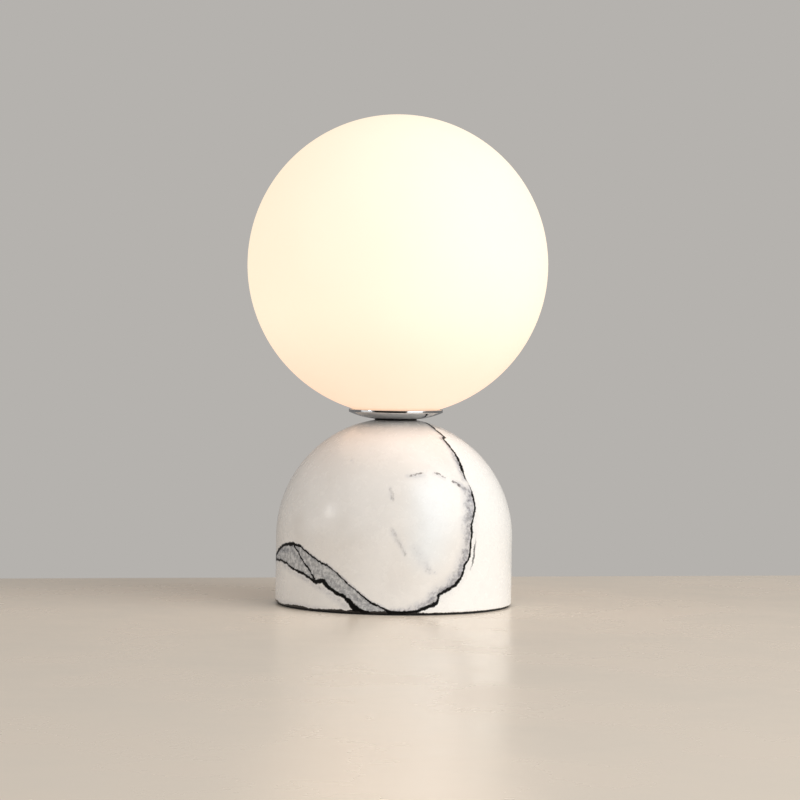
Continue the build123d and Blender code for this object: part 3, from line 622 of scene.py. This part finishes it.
# Right of the big vein the stain is weakened, as part of the painted light there.
smoke = calc(tree, "MULTIPLY", most(smokes), soft_step(tree, lit_right_of_vein, 0, 1, 1.0, 0.3))
filled = calc(tree, "MULTIPLY", below_upper, above_lower)
specks = soft_step(tree, calc(tree, "MULTIPLY_ADD", smoke, 0.34, mottle), 0.6, 1.0)
haze = calc(tree, "MULTIPLY", calc(tree, "POWER", smoke, 0.8), soft_step(tree, drift, 0.3, 0.68, 0.35, 1.0))

# Painted shade with an edge vein: a ragged dark band along the stone's foot, where it meets the table, taller
# on the left side.
left_side = soft_step(tree, across, 30 * MM, -10 * MM, 0.1, 1.0)
uneven = soft_step(tree, grain(tree, place, 6, 4, 0.6), 0.35, 0.65, 0.1, 1.0)
fuzz = calc(tree, "MULTIPLY", torn, 1.2 * MM)
edge_vein_and_shade_top = calc(tree, "MULTIPLY", calc(tree, "MULTIPLY", uneven, left_side), 1.1 * MM)
edge_vein_and_shade_top = calc(tree, "ADD", calc(tree, "ADD", edge_vein_and_shade_top, fuzz), (stone_bottom + 0.3) * MM)
edge_vein_and_shade = soft_step(tree, calc(tree, "SUBTRACT", height, edge_vein_and_shade_top), 0.25 * MM, -0.1 * MM)

clouds = grain(tree, place, 38, 4, 0.55, 0.5)
base = between(tree, soft_step(tree, clouds, 0.35, 0.68), paint(247, 245, 242), paint(239, 236, 232))
base = between(tree, learned("bright").outputs["Fac"], base, paint(243, 247, 249))
# Painted light: the stone right of the big vein is painted whiter towards the front, for the large light on
# the right.
base = between(tree, lit_right_of_vein, base, paint(253, 253, 251))
veil = soft_step(tree, grain(tree, place, 9, 6, 0.6, 1.2), 0.5, 0.78, 0, 0.16)
base = between(tree, veil, base, paint(226, 226, 228))
crystals = grain(tree, place, 0.9, 2, 0.5)
base = between(tree, soft_step(tree, crystals, 0.4, 0.7, 0, 0.08), base, paint(218, 217, 216))
base = between(tree, calc(tree, "MULTIPLY", haze, 0.72), base, paint(152, 157, 174))
mottled = between(tree, soft_step(tree, grain(tree, place, 1.8, 6, 0.7), 0.4, 0.62), paint(138, 142, 147),
                  paint(206, 208, 210))
base = between(tree, calc(tree, "MULTIPLY", filled, 0.8), base, mottled)
base = between(tree, calc(tree, "MULTIPLY", specks, 0.8), base, paint(66, 64, 76))
base = between(tree, calc(tree, "MULTIPLY", flecks, 0.8), base, paint(78, 66, 64))
# The painted shade and edge vein along the foot of the stone.
base = between(tree, edge_vein_and_shade, base, paint(34, 30, 29))
base = between(tree, black, base, paint(5, 5, 6))
tree.links.new(base, shader.inputs["Base Color"])
buffed = grain(tree, place, 5, 5, 0.6)
polish = soft_step(tree, buffed, 0.3, 0.7, 0.2, 0.3)
tree.links.new(calc(tree, "MULTIPLY_ADD", black, 0.16, polish), shader.inputs["Roughness"])
sunk = calc(tree, "MULTIPLY_ADD", black, -0.6, calc(tree, "MULTIPLY", buffed, 0.5))
bumped(tree, shader, sunk, 0.006)
tree.links.new(calc(tree, "MULTIPLY_ADD", black, -0.33, 0.45), shader.inputs["Specular IOR Level"])
stone.data.materials.append(stone_finish)
print("stone finish nodes", len(tree.nodes))

# %% [markdown]
# ## The chrome dish
# The dish is pressed from sheet metal: a flat foot, a long gentle curve, and a rim turned up into a short
# lip, plated bright. Two parallel arcs give the sheet its even thickness. A saucer cut from a sphere would
# be too thick at the foot. The upright lip is what mirrors the room as one level band. The plating keeps
# faint turning marks that break up its reflections a little.

# %% The dish's form
low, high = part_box("chrome_dish")
dish_bottom = low.z / MM
dish_radius = high.x / MM
dish_foot = 11.0
dish_rise = 3.3
dish_curve = 37.0
dish_sheet = 1.1
dish_bore = 5.1
dish_top = high.z / MM
lip_width = 1.2
lip_inside = dish_radius - lip_width
lip_ease = 0.45
edge_ease = 0.25
arc_steps = 24
run = dish_radius - dish_foot
chord = hypot(run, dish_rise)
reach = sqrt(dish_curve**2 - (chord / 2) ** 2)
curve_radius = (dish_foot + dish_radius) / 2 - reach * dish_rise / chord
curve_height = dish_bottom + dish_rise / 2 + reach * run / chord
curve_centre = (curve_radius, curve_height)
upper_curve = dish_curve - dish_sheet


def turn_of(radius, curve):
    """The angle, about the curve's centre, at which an arc passes a distance from the lamp's axis."""
    across = radius - curve_centre[0]
    return degrees(atan2(-sqrt(curve**2 - across**2), across))


foot_turn, rim_turn = (turn_of(r, dish_curve) for r in (dish_foot, dish_radius - 0.4))
under = arc(curve_centre, dish_curve, foot_turn, rim_turn, arc_steps)
lip_turn, floor_turn = (turn_of(r, upper_curve) for r in (lip_inside, dish_foot))
above = arc(curve_centre, upper_curve, lip_turn, floor_turn, arc_steps)
half = [(dish_bore, dish_bottom, 0)] + [(r, h, 0) for r, h in under]
half += [(dish_radius, dish_bottom + dish_rise, edge_ease), (dish_radius, dish_top, lip_ease)]
half += [(lip_inside, dish_top, lip_ease)] + [(r, h, 0) for r, h in above]
half += [(dish_bore, above[-1][1], 0)]
dish = turned("Chrome_dish", eased(half, 6), steps=192)
stands_for(dish, "chrome_dish")

# %% Bright plating
chrome, tree, shader = new_finish("chrome_plate")
place = place_on(tree)
x_there, y_there, _ = apart(tree, place)
squares = [calc(tree, "POWER", v, 2.0) for v in (x_there, y_there)]
out = calc(tree, "SQRT", calc(tree, "ADD", *squares))  # distance from the lathe's axis
rings = tree.nodes.new("ShaderNodeTexNoise")
rings.noise_dimensions = "1D"
tree.links.new(out, rings.inputs["W"])
rings.inputs["Scale"].default_value = 1 / (0.25 * MM)
rings.inputs["Detail"].default_value = 4
haze = grain(tree, place, 6, 5, 0.6)
rough = calc(tree, "MULTIPLY_ADD", rings.outputs[0], 0.03, soft_step(tree, haze, 0.35, 0.7, 0.01, 0.05))
tree.links.new(rough, shader.inputs["Roughness"])
tint = between(tree, soft_step(tree, haze, 0.3, 0.7), paint(214, 216, 218), paint(200, 203, 207))
tree.links.new(tint, shader.inputs["Base Color"])
bumped(tree, shader, rings.outputs[0], 0.003)
on_shader(shader, Metallic=1.0)
dish.data.materials.append(chrome)
lip_height = dish_top - dish_bottom - dish_rise
print("dish curve centre", [round(v, 2) for v in curve_centre], "lip height", round(lip_height, 2))

# %% [markdown]
# ## The glass globe
# An opal globe is blown in two layers: clear glass over a thin milky one, etched to a satin face. Lit from
# inside it glows evenly, cream rather than white. It could be made see-through with a milky volume inside,
# but that is slow and noisy, and the light it gives looks the same as a glass that glows by itself. It is
# modelled as the real shell, with its wall and its mouth.

# %% The globe's form
low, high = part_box("glass_globe")
globe_top = high.z / MM
globe_radius = 75.0
globe_wall = 2.8
globe_centre = globe_top - globe_radius
mouth_radius = 17.5
mouth_ease = 0.6
outer_end = -degrees(acos((mouth_radius + mouth_ease) / globe_radius))
inner_radius = globe_radius - globe_wall
inner_end = -degrees(acos((mouth_radius + mouth_ease) / inner_radius))
outside = arc((0, globe_centre), globe_radius, 90, outer_end, 84)
inside = arc((0, globe_centre), inner_radius, inner_end, 90, 60)
outside[0] = (0, globe_top)
inside[-1] = (0, globe_centre + inner_radius)
lip_low = globe_centre - sqrt(globe_radius**2 - mouth_radius**2)
lip_high = globe_centre - sqrt(inner_radius**2 - mouth_radius**2)
lip = [
    (mouth_radius + 0.18, lip_low + 0.04), (mouth_radius, lip_low + 0.45),
    (mouth_radius, (lip_low + lip_high) / 2),
    (mouth_radius, lip_high - 0.45), (mouth_radius + 0.18, lip_high - 0.12),
]
globe = turned("Glass_globe", outside + lip + inside, steps=160)
stands_for(globe, "glass_globe")

# %% Lit opal glass
opal, tree, shader = new_finish("opal_glass")
place = place_on(tree)
milk = grain(tree, place, 60, 3, 0.5)
body_colour = between(tree, soft_step(tree, milk, 0.3, 0.7), paint(172, 172, 180), paint(167, 167, 175))
tree.links.new(body_colour, shader.inputs["Base Color"])
etch = grain(tree, place, 0.35, 3, 0.6)
rough = soft_step(tree, grain(tree, place, 12, 4, 0.6), 0.3, 0.7, 0.52, 0.6)
tree.links.new(rough, shader.inputs["Roughness"])
bumped(tree, shader, etch, 0.004)
# Painted shade: the glow is dimmer and warmer near the mouth, where the collar and holder shade the glass
# from the lamp inside.
warm_start, warm_end = globe_centre - 20, globe_centre - 72  # the glow turns warmer towards the mouth
below = soft_step(tree, apart(tree, place)[2], warm_start * MM, warm_end * MM)
glow = between(tree, below, (1.0, 0.80, 0.54, 1.0), (1.0, 0.66, 0.43, 1.0))
tree.links.new(glow, shader.inputs["Emission Color"])
on_shader(shader, Emission_Strength=0.84, Specular_IOR_Level=0.3)
globe.data.materials.append(opal)
print("globe centre", round(globe_centre, 2))

# %% [markdown]
# ## Gasket, pad and the globe's seal
# Soft rings keep glass, metal and stone apart. The thin black gasket shows as a dark line under the dish,
# and the pad as a dark line under the stone. The seal is a milky silicone grommet, which grips the edge of
# the glass mouth, and shows when the globe is lifted.

# %% Soft rings
low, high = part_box("seat_gasket")
b, t, r = low.z / MM, high.z / MM, high.x / MM
outline = eased([(dish_bore, b, 0.1), (r, b, 0.2), (r, t, 0.2), (dish_bore, t, 0.1)])
gasket = turned("Dish_gasket", outline, steps=128)
stands_for(gasket, "seat_gasket")
low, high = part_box("foot_pad")
b, t, r = low.z / MM, high.z / MM, high.x / MM
pad_ease = 0.3
pad = turned("Foot_pad", eased([(0, b, 0), (r, b, pad_ease), (r, t, pad_ease), (0, t, 0)]), 192)
stands_for(pad, "foot_pad")

low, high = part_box("globe_seal")
lip_reach = high.x / MM
seal_bore = 15.6
gap = 0.1
lip_wall = 0.9
under_lip = globe_radius + gap + lip_wall
over_lip = inner_radius - gap - lip_wall


def below_centre(sphere, radius):
    """A point on a sphere about the globe's centre, under the centre, at a distance from the axis."""
    return (radius, globe_centre - sqrt(sphere**2 - radius**2))


groove = mouth_radius - gap
outline = [below_centre(under_lip, seal_bore + (lip_reach - 0.35 - seal_bore) * i / 6) for i in range(7)]
outline.append((lip_reach, below_centre(under_lip, lip_reach)[1] + 0.3))
outline += [below_centre(globe_radius + gap, lip_reach - (lip_reach - groove) * i / 6) for i in range(7)]
outline += [below_centre(inner_radius - gap, groove + (lip_reach - groove) * i / 6) for i in range(7)]
outline.append((lip_reach, below_centre(over_lip, lip_reach)[1] - 0.25))
over_reach = lip_reach - 0.25
outline += [below_centre(over_lip, over_reach - (over_reach - seal_bore) * i / 6) for i in range(7)]
seal = turned("Globe_seal", outline, steps=128)
stands_for(seal, "globe_seal")

# %% [markdown]
# ## The collar
# A turned aluminium cup stands on the dish and centres the globe. Eight holes in its wall let warm air
# through. The holes are drilled, so they are cut out of the turned cup.

# %% The collar's form
low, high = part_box("globe_collar")
b, t, r = low.z / MM, high.z / MM, high.x / MM
collar_wall = 1.5
foot_radius = 10.4
foot_height = 1.3
cup = [
    (dish_bore, b, 0), (foot_radius, b, 0.15), (foot_radius, b + foot_height, 0.1),
    (r, b + foot_height, 0.25), (r, t, 0.5), (r - collar_wall, t, 0.2),
    (r - collar_wall, b + foot_height + collar_wall, 0.4), (dish_bore, b + foot_height + collar_wall, 0),
]
collar = turned("Globe_collar", eased(cup), steps=128)
vent_count = 8
vent_radius, vent_drill_length = 1.5, 40
vent_height = (b + foot_height + collar_wall + t) / 2
for i in range(vent_count // 2):
    turn = radians(360 / vent_count * i)
    nothing_selected()
    bpy.ops.mesh.primitive_cylinder_add(
        vertices=32, radius=vent_radius * MM, depth=vent_drill_length * MM, location=(0, 0, vent_height * MM),
        rotation=(0, pi / 2, turn),
    )
    cut_out(collar, bpy.context.object)
stands_for(collar, "globe_collar")

# %% [markdown]
# ## The cord bush
# A moulded black bush lines the cord inlet low at the back. Its flange is rounded, and its bore flares so
# that no edge rubs the cord.

# %% The bush's form
low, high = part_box("cord_bush")
inner_end, outer_end = low.y / MM, high.y / MM
flange_radius = (high.x - low.x) / 2 / MM
barrel_radius = 4.9
flange_start = spot_face[1]
bore_radius = 3.2
ring = [
    (bore_radius, inner_end, 0.2), (barrel_radius, inner_end, 0.4), (barrel_radius, flange_start, 0),
    (flange_radius, flange_start, 0.15), (flange_radius, outer_end, 0.8), (bore_radius, outer_end, 0.8),
]
bush = turned("Cord_bush", eased(ring), steps=96, axis=(0, 1, 0), centre=(0, 0, inlet_height))
stands_for(bush, "cord_bush")

# %% [markdown]
# ## The lamp in its holder
# The pin-base lamp has a frosted cover over its light strips. It shows when the globe is off. The cover is
# a thin tube with a round end, so it is turned as a shell, and it glows softly.

# %% The lamp's cover
low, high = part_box("bulb_envelope")
b, t, r = low.z / MM, high.z / MM, high.x / MM
cover_wall = 0.9
dome = arc((0, t - r), r, 90, 0, 20)
hollow = arc((0, t - r), r - cover_wall, 0, 90, 20)
dome[0] = (0, t)
hollow[-1] = (0, t - cover_wall)
cover = turned("Lamp_cover", dome + [(r, b), (r - cover_wall, b)] + hollow, steps=96)
stands_for(cover, "bulb_envelope")
print("cover height", round(t - b, 1))

# %% [markdown]
# ## Finishes for the pieces from the engineering model
# The fasteners, the holder, the plate and the wiring already have their true shapes, so they stay and only
# need their finishes. Each metal gets its own tint, wear and cutting marks, each moulding its own grain.

# %% One finish for each slot


def worked_metal(name, light, dark, rough, marks, lathe=False):
    """Machined or plated metal: clouds in its tint, and fine marks along the cut."""
    finish, tree, shader = new_finish(name)
    place = place_on(tree)
    clouds = grain(tree, place, 4, 5, 0.6)
    tint = between(tree, soft_step(tree, clouds, 0.3, 0.7), paint(*light), paint(*dark))
    fine = grain(tree, place_on(tree, (1, 1, 30) if lathe else (30, 1, 1)), marks, 3, 0.6)
    spots = soft_step(tree, grain(tree, place, 0.8, 4, 0.7), 0.62, 0.75, 0, 0.3)
    tint = between(tree, spots, tint, paint(*(v * 0.75 for v in dark)))
    tree.links.new(tint, shader.inputs["Base Color"])
    uneven = soft_step(tree, clouds, 0.3, 0.7, rough - 0.06, rough)
    tree.links.new(calc(tree, "MULTIPLY_ADD", fine, 0.16, uneven), shader.inputs["Roughness"])
    bumped(tree, shader, fine, 0.01)
    on_shader(shader, Metallic=1.0)
    return finish


def moulded(name, light, dark, rough, pores=0.5, depth=0.015, **more):
    """Moulded, cast or fired material: soft clouds, fine pores and a slightly uneven gloss."""
    finish, tree, shader = new_finish(name)
    place = place_on(tree)
    clouds = grain(tree, place, 7, 4, 0.55)
    tint = between(tree, soft_step(tree, clouds, 0.3, 0.7), paint(*light), paint(*dark))
    fine = grain(tree, place, pores, 3, 0.6)
    tint = between(tree, soft_step(tree, fine, 0.6, 0.8, 0, 0.25), tint, paint(*(v * 0.8 for v in dark)))
    tree.links.new(tint, shader.inputs["Base Color"])
    tree.links.new(soft_step(tree, fine, 0.3, 0.7, rough - 0.05, rough + 0.05), shader.inputs["Roughness"])
    bumped(tree, shader, fine, depth)
    on_shader(shader, **more)
    return finish


finishes = {
    "polished_stone": stone_finish,
    "chrome_plate": chrome,
    "opal_glass": opal,
    "black_rubber": moulded("black_rubber", (38, 37, 37), (28, 27, 27), 0.75, 0.4, 0.03),
    "clear_silicone": moulded("clear_silicone", (226, 224, 218), (214, 211, 204), 0.38, 0.6, 0.008,
                              Subsurface_Weight=0.3, Subsurface_Scale=0.002),
    "zinc_steel": worked_metal("zinc_steel", (196, 198, 200), (176, 179, 182), 0.34, 0.5),
    "bare_brass": worked_metal("bare_brass", (214, 182, 112), (192, 158, 90), 0.32, 0.4),
    "satin_aluminium": worked_metal("satin_aluminium", (206, 207, 206), (190, 191, 191), 0.36, 6, True),
    "white_ceramic": moulded("white_ceramic", (238, 235, 227), (228, 224, 214), 0.2, 1.2, 0.02,
                             Coat_Weight=0.5, Coat_Roughness=0.08),
    "red_fibre": moulded("red_fibre", (128, 60, 48), (104, 46, 38), 0.66, 0.3, 0.03),
    "white_nylon": moulded("white_nylon", (232, 229, 220), (220, 216, 205), 0.45, 0.5, 0.01),
    "black_nylon": moulded("black_nylon", (44, 44, 45), (34, 34, 35), 0.48, 0.35, 0.02),
    "frosted_cover": moulded("frosted_cover", (240, 236, 226), (232, 227, 215), 0.5, 0.3, 0.006,
                             Emission_Color=(1.0, 0.84, 0.62, 1.0), Emission_Strength=0.35),
    "lamp_plastic": moulded("lamp_plastic", (236, 234, 228), (226, 223, 215), 0.3, 0.6, 0.01),
    "led_phosphor": moulded("led_phosphor", (250, 222, 120), (240, 200, 92), 0.6, 0.25, 0.02,
                            Emission_Color=(1.0, 0.85, 0.55, 1.0), Emission_Strength=1.0),
    "brown_insulation": moulded("brown_insulation", (98, 62, 42), (82, 50, 34), 0.38, 0.4, 0.008),
    "blue_insulation": moulded("blue_insulation", (52, 98, 178), (42, 82, 156), 0.38, 0.4, 0.008),
}

earth, tree, shader = new_finish("green_yellow_insulation")
place = place_on(tree)
edge = calc(tree, "MULTIPLY_ADD", grain(tree, place, 0.8, 3), 0.3 * MM, apart(tree, place)[0])
stripes = between(tree, soft_step(tree, edge, 0.1 * MM, 0.2 * MM), paint(60, 140, 62), paint(226, 206, 60))
dusty = soft_step(tree, grain(tree, place, 0.4, 3), 0.4, 0.7, 0, 0.15)
tree.links.new(between(tree, dusty, stripes, paint(120, 120, 90)), shader.inputs["Base Color"])
tree.links.new(soft_step(tree, grain(tree, place, 0.4, 3), 0.3, 0.7, 0.33, 0.43), shader.inputs["Roughness"])
bumped(tree, shader, grain(tree, place, 0.4, 3), 0.008)
finishes["green_yellow_insulation"] = earth

made_here = {"marble_base": stone, "chrome_dish": dish, "glass_globe": globe, "seat_gasket": gasket,
             "foot_pad": pad, "globe_seal": seal, "globe_collar": collar, "cord_bush": bush,
             "bulb_envelope": cover}
for node, cad_object in frame["nodes"].items():
    piece = made_here.get(node, cad_object)
    piece.data.materials.clear()
    piece.data.materials.append(finishes[slot_of[node]])
print("finishes", len(finishes), "pieces made here", len(made_here))

# %% [markdown]
# ## The stage
# A plain pale table, a plain pale backdrop, one large soft light high on the right and a small weak one on
# the left, as in a studio, with a low strip on each side that the upright lip of the dish mirrors as two
# bright patches. A weak fill in front, which no mirror sees, opens the shadow under the dish. A dark card
# in front, which only mirrors can see, gives the chrome its contrast. The backdrop's colour comes from the
# world, only where it is looked at or mirrored, so that it doesn't change how much light falls on the lamp.

# %% Table, backdrop and lights
nothing_selected()
bpy.ops.mesh.primitive_plane_add(size=1, location=(0, 0, 0))
table = bpy.context.object
table.name = "Table"
table_back, table_front, table_half = 0.15, -3.2, 1.6
back_slant = 0.2  # the far edge runs level in the rolled view
for vertex in table.data.vertices:
    vertex.co.x = table_half if vertex.co.x > 0 else -table_half
    vertex.co.y = table_back + back_slant * vertex.co.x if vertex.co.y > 0 else table_front
table_finish, tree, shader = new_finish("pale_table")
place = place_on(tree)
cloudy = grain(tree, place, 90, 5, 0.6)
tint = between(tree, soft_step(tree, cloudy, 0.3, 0.7), paint(250, 238, 222), paint(246, 233, 217))
tree.links.new(tint, shader.inputs["Base Color"])
tree.links.new(soft_step(tree, cloudy, 0.3, 0.7, 0.22, 0.3), shader.inputs["Roughness"])
on_shader(shader, Specular_IOR_Level=0.35)
table.data.materials.append(table_finish)

scene = bpy.context.scene
world = bpy.data.worlds.new("Studio")
scene.world = world
world.use_nodes = True
tree = world.node_tree
tree.nodes.clear()
seen = tree.nodes.new("ShaderNodeBackground")
seen.inputs["Color"].default_value = paint(181, 178, 174)
mirrored = tree.nodes.new("ShaderNodeBackground")
mirrored.inputs["Color"].default_value = paint(134, 132, 130)  # darker, so that the chrome has its contrast
fill = tree.nodes.new("ShaderNodeBackground")
fill.inputs["Color"].default_value = (1.0, 0.98, 0.96, 1)
fill.inputs["Strength"].default_value = 0.42
ray = tree.nodes.new("ShaderNodeLightPath")
looked = calc(tree, "MAXIMUM", ray.outputs["Is Camera Ray"], ray.outputs["Is Transmission Ray"])
shown = fill.outputs[0]
for kind, backdrop in ((ray.outputs["Is Glossy Ray"], mirrored), (looked, seen)):
    mix = tree.nodes.new("ShaderNodeMixShader")
    tree.links.new(kind, mix.inputs[0])
    tree.links.new(shown, mix.inputs[1])
    tree.links.new(backdrop.outputs[0], mix.inputs[2])
    shown = mix.outputs[0]
out = tree.nodes.new("ShaderNodeOutputWorld")
tree.links.new(shown, out.inputs["Surface"])

lamp_middle = Vector((0, 0, 0.11))


def softbox(name, direction, distance, size, watts, colour):
    """A flat light, width by height, that faces the lamp from one direction."""
    nothing_selected()
    toward = Vector(direction).normalized()
    bpy.ops.object.light_add(type="AREA", location=lamp_middle + toward * distance)
    box = bpy.context.object
    box.name = name
    box.data.shape = "RECTANGLE"
    box.data.size, box.data.size_y = size
    box.data.energy = watts
    box.data.color = colour
    box.rotation_euler = toward.to_track_quat("Z", "Y").to_euler()
    box.visible_camera = False
    return box


softbox("Key_softbox", (0.68, -0.47, 0.56), 1.3, (1.1, 1.1), 10.5, (1.0, 0.985, 0.96))
softbox("Left_softbox", (-0.89, -0.35, 0.29), 1.2, (0.18, 0.18), 0.9, (1.0, 0.99, 0.98))
softbox("Low_softbox_right", (0.75, -0.66, 0.06), 1.3, (0.97, 0.3), 1.5, (1.0, 0.99, 0.97))
softbox("Low_softbox_left", (-0.97, -0.24, 0.06), 1.3, (0.8, 0.3), 0.65, (1.0, 0.99, 0.98))
front = softbox("Front_fill", (0.1, -0.9, 0.42), 1.5, (1.2, 1.2), 0.9, (1.0, 0.98, 0.95))
front.visible_glossy = False  # the stone and the chrome show no third window

nothing_selected()
bpy.ops.mesh.primitive_plane_add(size=1, rotation=(pi / 2, 0, 0))
card = bpy.context.object
card.name = "Dark_card"
card_left, card_right, card_low, card_high, card_front = -1.2, 0.43, 0.0, 1.4, -0.9
bpy.ops.object.transform_apply(location=True, rotation=True, scale=True)
for vertex in card.data.vertices:
    vertex.co.x = card_right if vertex.co.x > 0 else card_left
    vertex.co.z = card_high if vertex.co.z > 0 else card_low
    vertex.co.y = card_front
card.visible_camera = card.visible_diffuse = card.visible_shadow = card.visible_transmission = False
card_finish, tree, shader = new_finish("dark_card")
felt = grain(tree, place_on(tree), 30, 3, 0.5)
tree.links.new(between(tree, felt, paint(22, 21, 21), paint(16, 16, 15)), shader.inputs["Base Color"])
on_shader(shader, Roughness=0.9)
card.data.materials.append(card_finish)
scene.view_settings.view_transform = "Standard"

# %% [markdown]
# ## The camera
# The view is from the front, a little above the table, through a long lens. The aim and a small roll share
# out the slight lean that the real lamp has in the reference view.

# %% Camera
nothing_selected()
axis_column = 396.0
side_step = (400 - axis_column) * eye.length * MM / pixels_per_slope
bpy.ops.object.camera_add(location=(side_step, eye.y * MM, eye.z * MM))
camera = bpy.context.object
camera.name = "Camera"
camera.data.sensor_width = 36
camera.data.lens = 36 * pixels_per_slope / 800
toward = Vector((side_step, 0, aim.z * MM)) - camera.location
turn = toward.to_track_quat("-Z", "Y")
camera.rotation_euler = turn.to_euler()
camera.rotation_euler.rotate_axis("Z", radians(0.8))
scene.camera = camera
print("lens", round(camera.data.lens, 1))

# %% [markdown]
# ## Update
# The view layer is brought up to date.

# %% Update the view layer
bpy.context.view_layer.update()
